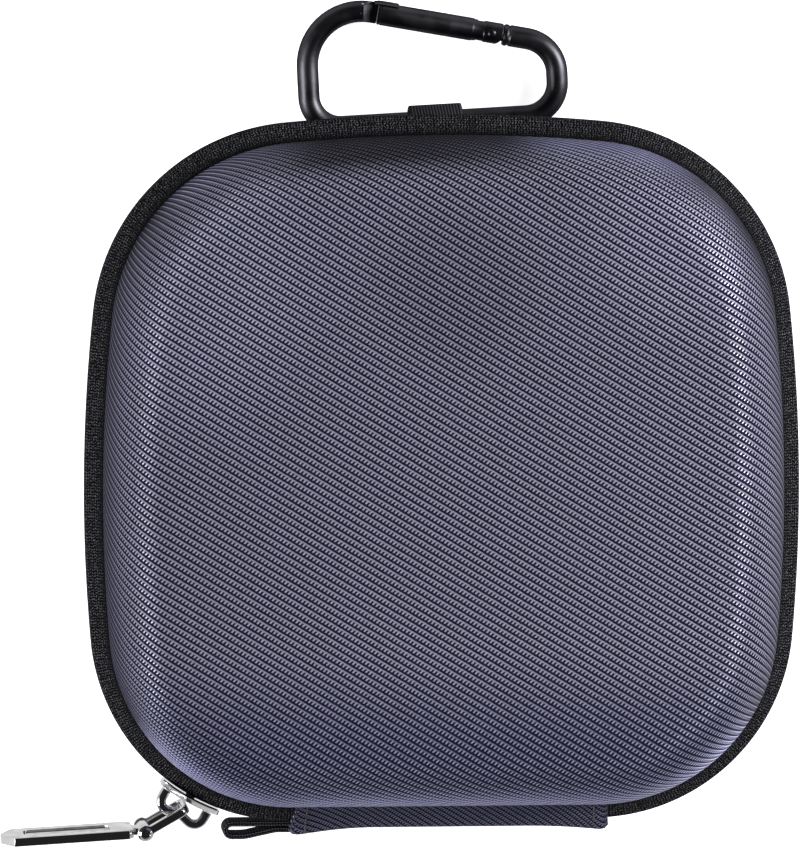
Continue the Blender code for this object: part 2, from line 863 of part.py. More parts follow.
rivet_hole = pin(
    "link_rivet_hole",
    hole_radius,
    -knuckle_high - overrun,
    knuckle_high + overrun,
    pin_sides,
    "Z",
    (link_length, 0),
)
combine(pull_link, rivet_hole, "DIFFERENCE")
carried(pull_link, link_frame, chrome_look)

# Rivet: a pin with two heads, carried by the link.
rivet_reach = knuckle_high + seat_gap
pull_rivet = pin(
    "pull_rivet", rivet_radius, -rivet_reach, rivet_reach, pin_sides, "Z", (link_length, 0)
)
for name, low in (
    ("upper_rivet_head", rivet_reach - rivet_head_thickness / 5),
    ("lower_rivet_head", -rivet_reach - rivet_head_thickness * 4 / 5),
):
    head = pin(
        name,
        rivet_head_radius,
        low,
        low + rivet_head_thickness,
        pin_sides,
        "Z",
        (link_length, 0),
    )
    combine(pull_rivet, head, "UNION")
carried(pull_rivet, link_frame, chrome_look)

# Tab: a flat plate on edge, with clipped far corners, a plain recess and a lug on the rivet.
tab_frame = joint_frame(
    "pull_tab_frame",
    link_frame,
    Matrix.Translation((link_length, 0, 0)) @ Matrix.Rotation(tab_turn, 4, "Z"),
)
tab_end = tab_start + tab_length
tab_half = tab_width / 2
tab_outline = [
    (tab_start, -tab_half + tab_corner / 2),
    (tab_start + tab_corner / 2, -tab_half),
    (tab_end - tab_corner, -tab_half),
    (tab_end, -tab_half + tab_corner),
    (tab_end, tab_half - tab_corner),
    (tab_end - tab_corner, tab_half),
    (tab_start + tab_corner / 2, tab_half),
    (tab_start, tab_half - tab_corner / 2),
]
pull_tab = slab("pull_tab", tab_outline, tab_thickness / 2)
pull_tab.data.transform(Matrix.Rotation(math.pi / 2, 4, "X"))
bevel(pull_tab, tab_thickness / 8)
lug = pin("tab_lug", tab_lug_radius, -tab_lug_height / 2, tab_lug_height / 2)
neck = box(
    "tab_neck",
    (0, -tab_thickness * 2 / 5, -tab_neck_height / 2),
    (tab_start + tab_corner, tab_thickness * 2 / 5, tab_neck_height / 2),
)
tab_hole = pin(
    "tab_rivet_hole",
    hole_radius,
    -tab_lug_height / 2 - overrun,
    tab_lug_height / 2 + overrun,
)
recess_middle = tab_start + tab_length / 2
recess_cuts = []
for name, face in (("inner_recess", 1), ("outer_recess", -1)):
    deep = face * (tab_thickness / 2 - tab_recess_depth)
    proud = face * (tab_thickness / 2 + overrun)
    recess_cuts.append(
        box(
            name,
            (recess_middle - tab_recess_length / 2, min(deep, proud), -tab_recess_width / 2),
            (recess_middle + tab_recess_length / 2, max(deep, proud), tab_recess_width / 2),
        )
    )
combine(pull_tab, neck, "UNION")
combine(pull_tab, lug, "UNION")
combine(pull_tab, tab_hole, "DIFFERENCE")
for cut in recess_cuts:
    combine(pull_tab, cut, "DIFFERENCE")
carried(pull_tab, tab_frame, chrome_look)

# Webbing loop: its path in the plane across the strap, +X toward the carabiner, +Y up, from
# the outer ply's root down round the bar and back up to the inner ply's root.
bar_height = strap_floor_gap + strap_thickness + strap_bar_clearance + wire_radius
wrap_radius = wire_radius + strap_bar_clearance + strap_thickness / 2
strap_top = parting_height - strap_top_drop
inner_root_reach = rim_far_reach - cover_edge_inset + strap_wall_gap + strap_thickness / 2
outer_root_reach = inner_root_reach + strap_thickness + strap_ply_gap
bar_centre = Vector((carabiner_bar_reach, bar_height))
outer_bend = Vector((outer_root_reach, strap_bend_height))
outer_arm = outer_bend - bar_centre
outer_touch_angle = math.atan2(outer_arm.y, outer_arm.x) - math.acos(
    wrap_radius / outer_arm.length
)
inner_touch_angle = -math.pi - strap_lean
wrap_steps = math.ceil((outer_touch_angle - inner_touch_angle) / fillet_step)
wrap_points = []
for step in range(wrap_steps + 1):
    share = step / wrap_steps
    angle = outer_touch_angle + (inner_touch_angle - outer_touch_angle) * share
    wrap_points.append(bar_centre + direction(angle) * wrap_radius)
lean = Vector((math.sin(strap_lean), math.cos(strap_lean)))
inner_bend = wrap_points[-1] + lean * ((strap_bend_height - wrap_points[-1].y) / lean.y)
outer_ply = rounded_route(
    [
        (Vector((outer_root_reach, strap_top)), 0),
        (outer_bend, strap_bend_radius),
        (wrap_points[0], 0),
    ]
)
inner_ply = rounded_route(
    [
        (wrap_points[-1], 0),
        (inner_bend, strap_bend_radius),
        (Vector((inner_root_reach, strap_top)), 0),
    ]
)
strap_root = Vector((0, inner_root_reach, strap_top))
strap_frame = joint_frame("webbing_loop_frame", case_frame, Matrix.Translation(strap_root))
strap_root_flat = Vector((strap_root.y, strap_root.z))
strap_route = outer_ply[:-1] + wrap_points + inner_ply[1:]
strap_path = [point - strap_root_flat for point in strap_route]
webbing_loop = slab("webbing_loop", band_outline(strap_path, strap_thickness), strap_width / 2)
across_to_world = Matrix(((0, 0, 1), (1, 0, 0), (0, 1, 0)))
webbing_loop.data.transform(across_to_world.to_4x4())
finish(webbing_loop, strap_frame, webbing_look)

# Carabiner body: one wire from the gate's hinge round to the nose, with a tongue for the pin.
carabiner_frame = joint_frame(
    "carabiner_frame",
    strap_frame,
    Matrix.Translation(Vector((0, carabiner_bar_reach, bar_height)) - strap_root)
    @ Matrix.Rotation(carabiner_skew, 4, "Z"),
)
gate_pin_place = Vector((gate_pin_along, gate_pin_reach))
to_nose = Vector((-math.cos(gate_slope), math.sin(gate_slope)))
half_run = carabiner_length / 2 - wire_radius


def on_gate_line(along):
    """The point of the gate's line at a given x."""
    return gate_pin_place + to_nose * ((along - gate_pin_along) / to_nose.x)


body_end = gate_radius + gate_end_gap
nose_corner = on_gate_line(-half_run)
nose_end = gate_pin_place + to_nose * (gate_length + gate_end_gap)
nose_corner_fillet = min(
    nose_corner_radius,
    (nose_end - nose_corner).length / math.tan((math.pi / 2 + gate_slope) / 2),
)
body_corners = [
    (gate_pin_place - to_nose * body_end, 0),
    (on_gate_line(half_run), gate_corner_radius),
    (Vector((half_run, 0)), bar_gate_corner_radius),
    (Vector((-half_run, 0)), bar_nose_corner_radius),
    (nose_corner, nose_corner_fillet),
    (nose_end, 0),
]
body_points = [(point.x, point.y, 0) for point in rounded_route(body_corners)]
carabiner_body = tube("carabiner_body", body_points, wire_radius, 2)
gate_rotation = Matrix.Rotation(math.pi - gate_slope, 4, "Z")
gate_place = Matrix.Translation((*gate_pin_place, 0)) @ gate_rotation
tongue = box(
    "tongue_bar",
    (-body_end - overrun, -tongue_radius * 4 / 5, -tongue_thickness / 2),
    (0, tongue_radius * 4 / 5, tongue_thickness / 2),
)
tongue_eye = pin("tongue_eye", tongue_radius, -tongue_thickness / 2, tongue_thickness / 2)
pin_hole_radius = gate_pin_radius + rivet_clearance
tongue_hole = pin(
    "tongue_hole", pin_hole_radius, -tongue_thickness - overrun, tongue_thickness + overrun
)
for piece in (tongue, tongue_eye, tongue_hole):
    piece.data.transform(gate_place)
combine(carabiner_body, tongue, "UNION")
combine(carabiner_body, tongue_eye, "UNION")
combine(carabiner_body, tongue_hole, "DIFFERENCE")
carried(carabiner_body, carabiner_frame, black_metal_look)

# Gate, in its frame: origin on the pin, +X to the nose.
gate_frame = joint_frame("carabiner_gate_frame", carabiner_frame, gate_place)
gate_profile = [
    (gate_length, 0),
    (gate_length, gate_radius - gate_end_gap),
    (gate_length - gate_end_gap, gate_radius),
    (gate_waist_end, gate_radius),
    (gate_waist_end - gate_end_gap, gate_waist_radius),
    (gate_waist_start, gate_waist_radius),
    (gate_waist_start - gate_end_gap, gate_radius),
]
ball_steps = 5
for step in range(ball_steps + 1):
    angle = math.pi / 2 * (1 + step / ball_steps)
    gate_profile.append((gate_radius * math.cos(angle), gate_radius * math.sin(angle)))
gate_rings = []
for along, radius in gate_profile[1:-1]:
    gate_rings.append(
        [
            Vector((along, *(direction(2 * math.pi * turn / pin_sides) * radius)))
            for turn in range(pin_sides)
        ]
    )
carabiner_gate = loft("carabiner_gate", gate_rings, False)
gate_slot = box(
    "gate_slot",
    (-gate_radius - overrun, -gate_radius - overrun, -gate_slot_width / 2),
    (gate_slot_depth, gate_radius + overrun, gate_slot_width / 2),
)
gate_bore = pin("gate_bore", gate_bore_radius, gate_slot_depth / 2, gate_bore_end, 12, "X")
gate_hole = pin(
    "gate_pin_hole", pin_hole_radius, -gate_radius - overrun, gate_radius + overrun
)
combine(carabiner_gate, gate_slot, "DIFFERENCE")
combine(carabiner_gate, gate_bore, "DIFFERENCE")
combine(carabiner_gate, gate_hole, "DIFFERENCE")
carried(carabiner_gate, gate_frame, black_metal_look)
gate_pin = pin("gate_pin", gate_pin_radius, -gate_pin_length / 2, gate_pin_length / 2)
gate_pin.matrix_local = gate_place
finish(gate_pin, carabiner_frame, steel_look)

# Plunger and spring inside the gate, which press on the tongue.
plunger_start = tongue_radius + seat_gap
plunger_end = plunger_start + plunger_length
gate_plunger = pin("gate_plunger", plunger_radius, plunger_start, plunger_end, 12, "X")
finish(gate_plunger, gate_frame, steel_look)
spring_start = plunger_end + seat_gap + spring_wire_radius
spring_run = gate_bore_end - seat_gap - spring_wire_radius - spring_start
spring_points = []
for step in range(spring_curls * spring_points_per_curl + 1):
    turn = 2 * math.pi * step / spring_points_per_curl
    along = spring_start + spring_run * step / (spring_curls * spring_points_per_curl)
    spring_points.append((along, *(direction(turn) * spring_radius)))
gate_spring = tube("gate_spring", spring_points, spring_wire_radius, 0)
finish(gate_spring, gate_frame, steel_look)
print("gap between the spring's curls", spring_run / spring_curls - 2 * spring_wire_radius)
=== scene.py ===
import math

import bmesh
import bpy
from mathutils import Matrix, Vector


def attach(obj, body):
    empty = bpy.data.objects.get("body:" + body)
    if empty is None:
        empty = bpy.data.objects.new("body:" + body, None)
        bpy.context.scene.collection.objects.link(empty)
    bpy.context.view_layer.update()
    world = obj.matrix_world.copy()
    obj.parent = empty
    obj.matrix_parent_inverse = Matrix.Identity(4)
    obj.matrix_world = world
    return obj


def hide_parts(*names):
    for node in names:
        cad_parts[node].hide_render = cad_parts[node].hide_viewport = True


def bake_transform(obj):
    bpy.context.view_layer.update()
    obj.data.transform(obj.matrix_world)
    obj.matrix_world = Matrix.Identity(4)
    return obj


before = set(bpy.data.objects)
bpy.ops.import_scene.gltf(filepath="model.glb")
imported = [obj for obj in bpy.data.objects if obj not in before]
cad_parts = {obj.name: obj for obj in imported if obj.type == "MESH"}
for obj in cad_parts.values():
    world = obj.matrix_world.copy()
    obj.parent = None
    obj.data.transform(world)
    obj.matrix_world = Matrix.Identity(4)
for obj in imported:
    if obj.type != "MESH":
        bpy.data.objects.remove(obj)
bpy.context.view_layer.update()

print("frame loaded:", len(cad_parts), "nodes")

scene = bpy.context.scene
millimetre = 0.001
asPlaced = Matrix.Identity(4)

# Outline of the case along the zipper
caseShape = {
    "halfWidth": 0.0791,
    "farReach": 0.0831,
    "hingeReach": 0.0733,
    "sideRadius": 0.382,
    "farCornerRadius": 0.0464,
    "hingeCornerRadius": 0.0440,
    "partingHeight": 0.0265,
    "hingeSetback": 0.0032,
    "spineLeft": -0.0327,
    "spineRight": 0.0365,
    "seatGap": 0.0003,
}
parting, gap = caseShape["partingHeight"], caseShape["seatGap"]
hingeReach, farReach = caseShape["hingeReach"], caseShape["farReach"]
sideRadius, cornerRadius = caseShape["sideRadius"], caseShape["hingeCornerRadius"]
spineLeft, spineRight = caseShape["spineLeft"], caseShape["spineRight"]


def heading(angle):
    return Vector((math.cos(angle), math.sin(angle)))


def leftOf(direction):
    return Vector((-direction.y, direction.x))


def turnTo(centre, point):
    return math.atan2(point.y - centre.y, point.x - centre.x)


def moved(x, y, z):
    return Matrix.Translation((x, y, z))


def spun(angle, axis):
    return Matrix.Rotation(angle, 4, axis)


sideCentre = Vector((caseShape["halfWidth"] - sideRadius, 0))
farCentre = Vector((0, farReach - sideRadius))
between = farCentre - sideCentre
besideBoth = math.sqrt((sideRadius - caseShape["farCornerRadius"]) ** 2 - (between.length / 2) ** 2)
farCornerCentre = (sideCentre + farCentre) / 2 + leftOf(between).normalized() * besideBoth
hingeCornerDrop = hingeReach - cornerRadius
hingeCornerAcross = sideCentre.x + math.sqrt((sideRadius - cornerRadius) ** 2 - hingeCornerDrop ** 2)
hingeCornerCentre = Vector((hingeCornerAcross, -hingeCornerDrop))
lowTurn, highTurn = turnTo(sideCentre, hingeCornerCentre), turnTo(sideCentre, farCornerCentre)
topTurn = turnTo(farCentre, farCornerCentre)
rimArcs = [
    (hingeCornerCentre, cornerRadius, -math.pi / 2, lowTurn),
    (sideCentre, sideRadius, lowTurn, highTurn),
    (farCornerCentre, caseShape["farCornerRadius"], highTurn, topTurn),
    (farCentre, sideRadius, topTurn, math.pi / 2),
]
halfRim = hingeCornerAcross + sum(radius * (end - start) for _, radius, start, end in rimArcs)
wholeRim = 2 * halfRim


def rimAt(distance):
    # place and outward normal, from the middle of the hinge side against the clock
    distance %= wholeRim
    if distance > halfRim:
        point, normal = rimAt(wholeRim - distance)
        return Vector((-point.x, point.y)), Vector((-normal.x, normal.y))
    if distance <= hingeCornerAcross:
        return Vector((distance, -hingeReach)), Vector((0, -1))
    distance -= hingeCornerAcross
    for centre, radius, start, end in rimArcs:
        if distance <= radius * (end - start):
            break
        distance -= radius * (end - start)
    angle = min(start + distance / radius, end)
    return centre + heading(angle) * radius, heading(angle)


def inside(rimPlace, inset, height):
    point, normal = rimPlace
    return Vector((*(point - normal * inset), height))


def hingeSideDistance(across):
    past = abs(across) - hingeCornerAcross
    if past <= 0:
        return across
    return math.copysign(hingeCornerAcross + cornerRadius * math.asin(past / cornerRadius), across)


def rimStops(start, end, spacing):
    count = max(2, round((end - start) / spacing))
    return [start + (end - start) * step / count for step in range(count + 1)]


# Shader building

class Signal:
    # a shader's socket that is reckoned with like a number
    def __init__(self, socket):
        self.socket, self.tree = socket, socket.id_data

    def __add__(self, other):
        return calc("ADD", self, other)

    def __sub__(self, other):
        return calc("SUBTRACT", self, other)

    def __rsub__(self, other):
        return calc("SUBTRACT", other, self)

    def __mul__(self, other):
        return calc("MULTIPLY", self, other)

    def __truediv__(self, other):
        return calc("DIVIDE", self, other)

    def __rtruediv__(self, other):
        return calc("DIVIDE", other, self)

    def __abs__(self):
        return calc("ABSOLUTE", self)


def fill(socket, value):
    # a signal is linked, and a number, vector or colour is set
    if isinstance(value, Signal):
        socket.id_data.links.new(value.socket, socket)
    elif socket.type == "RGBA" and len(value) == 3:
        socket.default_value = (*value, 1)
    else:
        socket.default_value = value


def node(tree, kind, inputs=None, **settings):
    # a new node's outputs, by number and by name
    made = tree.nodes.new("ShaderNode" + kind)
    for name, value in settings.items():
        setattr(made, name, value)
    for label, value in (inputs or {}).items():
        fill(made.inputs[label], value)
    outputs = {}
    for index, output in enumerate(made.outputs):
        outputs[index] = outputs[output.name] = Signal(output)
    return outputs


def calc(operation, *values):
    tree = next(value.tree for value in values if isinstance(value, Signal))
    return node(tree, "Math", dict(enumerate(values)), operation=operation)[0]


def dotted(first, second):
    return node(first.tree, "VectorMath", {0: first, 1: second}, operation="DOT_PRODUCT")["Value"]


def scaledBy(vector, factor):
    return node(vector.tree, "VectorMath", {0: vector, "Scale": factor}, operation="SCALE")["Vector"]


def eased(value, low, high, first=0.0, last=1.0):
    inputs = {"Value": value, "From Min": low, "From Max": high, "To Min": first, "To Max": last}
    return node(value.tree, "MapRange", inputs, interpolation_type="SMOOTHSTEP")[0]


def faded(value, low, high):
    return eased(value, low, high, 1.0, 0.0)


def wave(phase):
    # a cosine between 0 and 1, with its phase in turns
    return calc("COSINE", phase * (2 * math.pi)) * 0.5 + 0.5


def mixedValue(factor, first, second):
    return factor * (second - first) + first


def mixed(factor, first, second):
    return node(factor.tree, "Mix", {0: factor, 6: first, 7: second}, data_type="RGBA")[2]


def noised(vector, scale, detail=2.0, roughness=0.5):
    inputs = {"Vector": vector, "Scale": scale, "Detail": detail, "Roughness": roughness}
    return node(vector.tree, "TexNoise", inputs)[0]


def split(vector):
    return node(vector.tree, "SeparateXYZ", {0: vector})


def newGroup(name, inputs, outputs):
    tree = bpy.data.node_groups.new(name, "ShaderNodeTree")
    for label, value in inputs.items():
        kind = "NodeSocketVector" if isinstance(value, tuple) else "NodeSocketFloat"
        tree.interface.new_socket(label, in_out="INPUT", socket_type=kind).default_value = value
    for label in outputs:
        tree.interface.new_socket(label, in_out="OUTPUT", socket_type="NodeSocketFloat")
    given = tree.nodes.new("NodeGroupInput").outputs
    put = tree.nodes.new("NodeGroupOutput").inputs
    return tree, {label: Signal(given[label]) for label in inputs}, put


def placed(group, place, **values):
    # the group in the tree of the place that it is given
    inputs = {0: place} | {label.replace("_", " "): value for label, value in values.items()}
    return node(place.tree, "Group", inputs, node_tree=group)


def newLook(name, **constants):
    look = bpy.data.materials.new(name)
    look.use_nodes = True
    shader = look.node_tree.nodes["Principled BSDF"].inputs
    for label, value in constants.items():
        fill(shader[label.replace("_", " ")], value)
    return look, look.node_tree, shader


def clothPlace(tree):
    return node(tree, "UVMap", uv_map="cloth")["UV"]


def bodyPlace(tree):
    return node(tree, "TexCoord")["Object"]


def bumped(shader, height, distance):
    fill(shader["Normal"], node(height.tree, "Bump", {"Strength": 1.0, "Distance": distance, "Height": height})[0])


# Twill of thick floats: rows with one nearly unbroken side and short slanted floats beside it
twill, given, put = newGroup(
    "Twill Floats",
    {
        "Cloth": (0, 0, 0), "Rows": (344, 563, 0), "Beads": (1067, -509, 0),
        "Slant": 0.55, "Unevenness": 0.2, "Stretch": 0.0, "Dots": 0.0,
    },
    ("Floats", "Height"),
)
waver = noised(scaledBy(given["Cloth"], 900.0), 1.0, 1.0) - 0.5
rowPhase = waver * (given["Unevenness"] * 0.35) + dotted(given["Cloth"], given["Rows"])
row = calc("FRACT", rowPhase + 0.5) - 0.5
beadPhase = dotted(given["Cloth"], given["Beads"]) - (row * given["Slant"] + 0.086)
bead = eased(wave(beadPhase), 0.22, 0.88)
# Dots sharpens the beads and dims the side floats: painted shade where the side floats catch no light
bead = bead * (1.0 - given["Dots"] * (1.0 - bead))
flattened = (0.10 - bead) * given["Stretch"] + bead
beadSpan = eased(row, -0.43, -0.27) * faded(row, 0.12, 0.30)
beadPart = flattened * beadSpan * eased(row, -0.25, 0.10, 1.0, 0.72)
sideShine = given["Stretch"] * 0.34 + (given["Dots"] * -0.42 + 0.66)
sideScallop = wave(beadPhase) * (given["Stretch"] * -0.15 + 0.25) + 0.75
sidePart = faded(abs(row - 0.2), 0.05, 0.19) * sideShine * sideScallop
floats = calc("MAXIMUM", beadPart, sidePart)
unequal = (noised(scaledBy(given["Cloth"], 1400.0), 1.0, 0.0) - 0.5) * given["Unevenness"] + 1.0
fill(put["Floats"], floats * unequal)
fill(put["Height"], floats)

# Knitted and woven narrow goods: ribs broken into short slanted stitches
knit, given, put = newGroup(
    "Knit Stitches",
    {"Cloth": (0, 0, 0), "Rib Pitch": 0.0011, "Row Pitch": 0.0009, "Zigzag": 0.45, "Speckle": 0.8},
    ("Stitches", "Height"),
)
place = split(given["Cloth"])
across = place["Y"] / given["Row Pitch"]
ribPhase = place["X"] / given["Rib Pitch"] + calc("PINGPONG", across, 1.0) * given["Zigzag"]
drift = noised(scaledBy(given["Cloth"], 1200.0), 1.0, 2.0, 0.7) - 0.5
rib = wave(drift * (given["Speckle"] * 1.8) + ribPhase)
body = rib * (wave(across + 0.5) * 0.55 + 0.45)
grains = eased(noised(scaledBy(given["Cloth"], 2600.0), 1.0, 2.0, 0.7), 0.42, 0.62)
fill(put["Stitches"], eased(body, 0.25, 0.85) * (1.0 - given["Speckle"] * (1.0 - grains)))
fill(put["Height"], body)

# Handling marks on metal: broad smudges and fine rubbing
handled, given, put = newGroup("Handling Marks", {"Place": (0, 0, 0), "Size": 0.004}, ("Smudge", "Rub"))
sized = scaledBy(given["Place"], 1.0 / given["Size"])
fill(put["Smudge"], eased(noised(sized, 1.0, 3.0), 0.35, 0.7))
fill(put["Rub"], noised(sized, 14.0, 3.0, 0.7))

# Foam skin: pores over a finer grain
pored, given, put = newGroup("Foam Pores", {"Place": (0, 0, 0), "Pore Size": 0.0006}, ("Pores", "Height"))
sized = scaledBy(given["Place"], 1.0 / given["Pore Size"])
pit = eased(node(pored, "TexVoronoi", {"Vector": sized, "Scale": 1.0})["Distance"], 0.12, 0.55)
fill(put["Pores"], pit)
fill(put["Height"], noised(sized, 2.0, 2.0) * 0.4 + pit)
print("shader groups built")

# Cover's weave: its places are from above, and its rises are from the zipper's line
weaveFinish = {
    "ground": (0.0040, 0.0036, 0.0150),
    "groundWarm": (0.0065, 0.0058, 0.0200),
    "floats": (0.400, 0.392, 0.520),
    "floatsBluer": (0.365, 0.368, 0.560),
    "rows": (343.7, 563.0, 0.0),
    "beads": (1067.2, -509.0, 0.0),
    "specular": 0.08,
    "lustre": 0.5,
    "anisotropy": 0.9,
    "yarnTurn": 58.6 / 360,
    "height": 0.00028,
    # shades, rises and places of the painted shade and painted highlights in the weave's colour
    "footShade": 0.40,
    "footRises": (0.0100, 0.0250),
    "middle": (0.045, 0.062),
    "hingeFoot": 4.6,
    "hingeFootPlace": (-0.058, -0.040),
    "farShade": 0.22,
    "farRises": (0.0190, 0.0258),
    "farPlace": (0.045, 0.062),
    "farStart": (-0.052, -0.024),
    "farEnd": (-0.008, 0.036),
    "hingeShade": 0.86,
    "hingeRises": (0.0200, 0.0248),
    "hingePlace": (-0.062, -0.030),
    "dotRises": (0.0160, 0.0225),
    "flatRises": (0.0100, 0.0240),
    "bluerRises": (0.0100, 0.0235),
    "stripShade": 0.55,
    "stripRises": (0.0056, 0.0060),
    # x, y, reach and shade of places by the rim and on the face: above 1 a painted highlight, below 1 painted shade
    "rimPlaces": (
        (0.035, 0.077, 0.024, 2.00), (-0.047, 0.073, 0.022, 1.30), (-0.049, -0.067, 0.028, 3.60),
        (0.0525, -0.062, 0.024, 4.60), (0.075, 0.053, 0.026, 0.18),
    ),
    "facePlaces": (
        (-0.060, 0.048, 0.040, 1.24), (0.054, 0.062, 0.032, 1.22), (0.001, 0.048, 0.024, 0.84),
    ),
    "faceRises": (0.0190, 0.0250),
}
navyWeave, tree, shader = newLook(
    "navy_weave", Specular_IOR_Level=weaveFinish["specular"],
    Anisotropic=weaveFinish["anisotropy"], Anisotropic_Rotation=weaveFinish["yarnTurn"],
)
fill(shader["Tangent"], node(tree, "Tangent", direction_type="UV_MAP", uv_map="cloth")[0])
cloth = clothPlace(tree)
spot = split(bodyPlace(tree))
flat = node(tree, "CombineXYZ", {"X": spot["X"], "Y": spot["Y"]})[0]
rise = abs(spot["Z"] - parting)


def nearPlace(x, y, reach):
    away = node(flat.tree, "VectorMath", {0: flat, 1: (x, y, 0)}, operation="DISTANCE")["Value"]
    return faded(away, reach * 0.35, reach)


# painted shade and painted highlights: the weave's colour is darkened down the walls, more on the far wall, on the
# hinge side and on the spine strip, and lightened at places of the rim and of the face
farPart = eased(spot["X"], *weaveFinish["farStart"]) * faded(spot["X"], *weaveFinish["farEnd"])
farPart = eased(spot["Y"], *weaveFinish["farPlace"]) * farPart
hingePart = faded(spot["Y"], *weaveFinish["hingePlace"])
middlePart = eased(faded(abs(spot["X"]), *weaveFinish["middle"]), 0.0, 1.0)
# painted shade at the walls' foot, with painted highlights at the hinge side's foot
foot = mixedValue(
    middlePart, weaveFinish["footShade"],
    eased(spot["Y"], *weaveFinish["hingeFootPlace"], weaveFinish["hingeFoot"], weaveFinish["footShade"]),
)
# painted highlights on the rim's lip at these places, painted shade at the one below 1
for x, y, reach, shade in weaveFinish["rimPlaces"]:
    foot = mixedValue(nearPlace(x, y, reach), foot, shade)
# painted shade down the walls, by the foot's value
paintedShade = eased(rise, *weaveFinish["footRises"], foot, 1.0)
# painted shade down the far wall
paintedShade *= 1.0 - farPart * eased(rise, *weaveFinish["farRises"], 1.0 - weaveFinish["farShade"], 0.0)
# painted shade on the face towards the hinge side
paintedShade *= 1.0 - hingePart * eased(rise, *weaveFinish["hingeRises"], 0.0, 1.0 - weaveFinish["hingeShade"])
# painted highlights and painted shade at places of the face
for x, y, reach, shade in weaveFinish["facePlaces"]:
    paintedShade *= nearPlace(x, y, reach) * eased(rise, *weaveFinish["faceRises"], 0.0, shade - 1.0) + 1.0
# painted shade on the spine strip
onStrip = faded(rise, *weaveFinish["stripRises"])
paintedShade = mixedValue(onStrip, paintedShade, weaveFinish["stripShade"])
# Dots on the hinge side is painted shade on the side floats
yarn = placed(
    twill, cloth, Rows=weaveFinish["rows"], Beads=weaveFinish["beads"],
    Stretch=faded(rise, *weaveFinish["flatRises"]) * (1.0 - calc("MAXIMUM", farPart, onStrip)),
    Dots=hingePart * eased(rise, *weaveFinish["dotRises"]),
)
ground = mixed(noised(cloth, 120.0, 3.0), weaveFinish["ground"], weaveFinish["groundWarm"])
# the floats are bluer down the walls and on the hinge side
bluerPart = calc("MAXIMUM", faded(rise, *weaveFinish["bluerRises"]), hingePart)
floatColour = mixed(bluerPart, weaveFinish["floats"], weaveFinish["floatsBluer"])
fill(shader["Base Color"], scaledBy(mixed(yarn["Floats"], ground, floatColour), paintedShade))
fill(shader["Roughness"], yarn["Floats"] * -0.48 + 0.8)
fill(shader["Metallic"], yarn["Floats"] * weaveFinish["lustre"])
bumped(shader, yarn["Height"], weaveFinish["height"])


# Looks that share a group

def knitLook(name, finish, shading=lambda tree, stitches: stitches, **constants):
    look, tree, shader = newLook(name, **constants)
    yarn = placed(
        knit, clothPlace(tree), Rib_Pitch=finish["ribPitch"], Row_Pitch=finish["rowPitch"],
        Zigzag=finish["zigzag"], Speckle=finish["speckle"],
    )
    fill(shader["Base Color"], mixed(shading(tree, yarn["Stitches"]), finish["dark"], finish["light"]))
    bumped(shader, yarn["Height"], finish["height"])
    return look


def foamLook(name, finish, **constants):
    look, tree, shader = newLook(name, **constants)
    pores = placed(pored, bodyPlace(tree), Pore_Size=finish["pore"])
    fill(shader["Base Color"], mixed(pores["Pores"], finish["light"], finish["dark"]))
    bumped(shader, pores["Height"], finish["height"])
    return look


def handledLook(name, finish, colouredBy="Smudge", **constants):
    look, tree, shader = newLook(name, **constants)
    marks = placed(handled, bodyPlace(tree), Size=finish["marks"])
    fill(shader["Base Color"], mixed(marks[colouredBy], finish["clean"], finish["rubbed"]))
    if "roughness" in finish:
        low, high = finish["roughness"]
        fill(shader["Roughness"], marks["Smudge"] * (high - low) + low)
    if "grain" in finish:
        bumped(shader, marks["Rub"], finish["grain"])
    return look


tapeFinish = {
    "dark": (0.0038, 0.0037, 0.0048), "light": (0.150, 0.149, 0.164), "height": 0.00010,
    "ribPitch": 0.00066, "rowPitch": 0.00058, "zigzag": 0.5, "speckle": 0.95,
    "creaseShade": 0.12, "creaseRises": (0.0030, 0.0050),
}
webbingFinish = {
    "dark": (0.0035, 0.0035, 0.0046), "light": (0.092, 0.094, 0.108), "height": 0.00012,
    "ribPitch": 0.00066, "rowPitch": 0.00062, "zigzag": 0.25, "speckle": 0.10,
}
liningFinish = {
    "dark": (0.030, 0.030, 0.034), "light": (0.085, 0.085, 0.092), "height": 0.00005,
    "ribPitch": 0.0008, "rowPitch": 0.0008, "zigzag": 0.5, "speckle": 0.5, "nap": 260.0,
}


def paintedCreaseShade(tree, stitches):
    # the tape turns in beside the cover's edge, where its colour is darkened as painted shade in the crease
    rise = abs(split(bodyPlace(tree))["Z"] - parting)
    return stitches * eased(rise, *tapeFinish["creaseRises"], 1.0, tapeFinish["creaseShade"])


def napped(tree, stitches):
    return stitches * 0.5 + noised(clothPlace(tree), liningFinish["nap"], 4.0, 0.6) * 0.5


knitTape = knitLook("black_knit_tape", tapeFinish, paintedCreaseShade, Roughness=0.85, Specular_IOR_Level=0.015)
webbing = knitLook("black_webbing", webbingFinish, Roughness=0.75, Specular_IOR_Level=0.02)
tricot = knitLook(
    "grey_tricot", liningFinish, napped, Roughness=0.9, Sheen_Weight=0.3, Sheen_Roughness=0.4,
)

coreFinish = {"dark": (0.014, 0.014, 0.015), "light": (0.034, 0.034, 0.036), "pore": 0.0004, "height": 0.00006}
trayFinish = {"dark": (0.020, 0.020, 0.022), "light": (0.062, 0.062, 0.066), "pore": 0.0009, "height": 0.00025}
evaFoam = foamLook("black_eva_foam", coreFinish, Roughness=0.85)
greyFoam = foamLook("grey_foam", trayFinish, Roughness=0.92, Sheen_Weight=0.15)

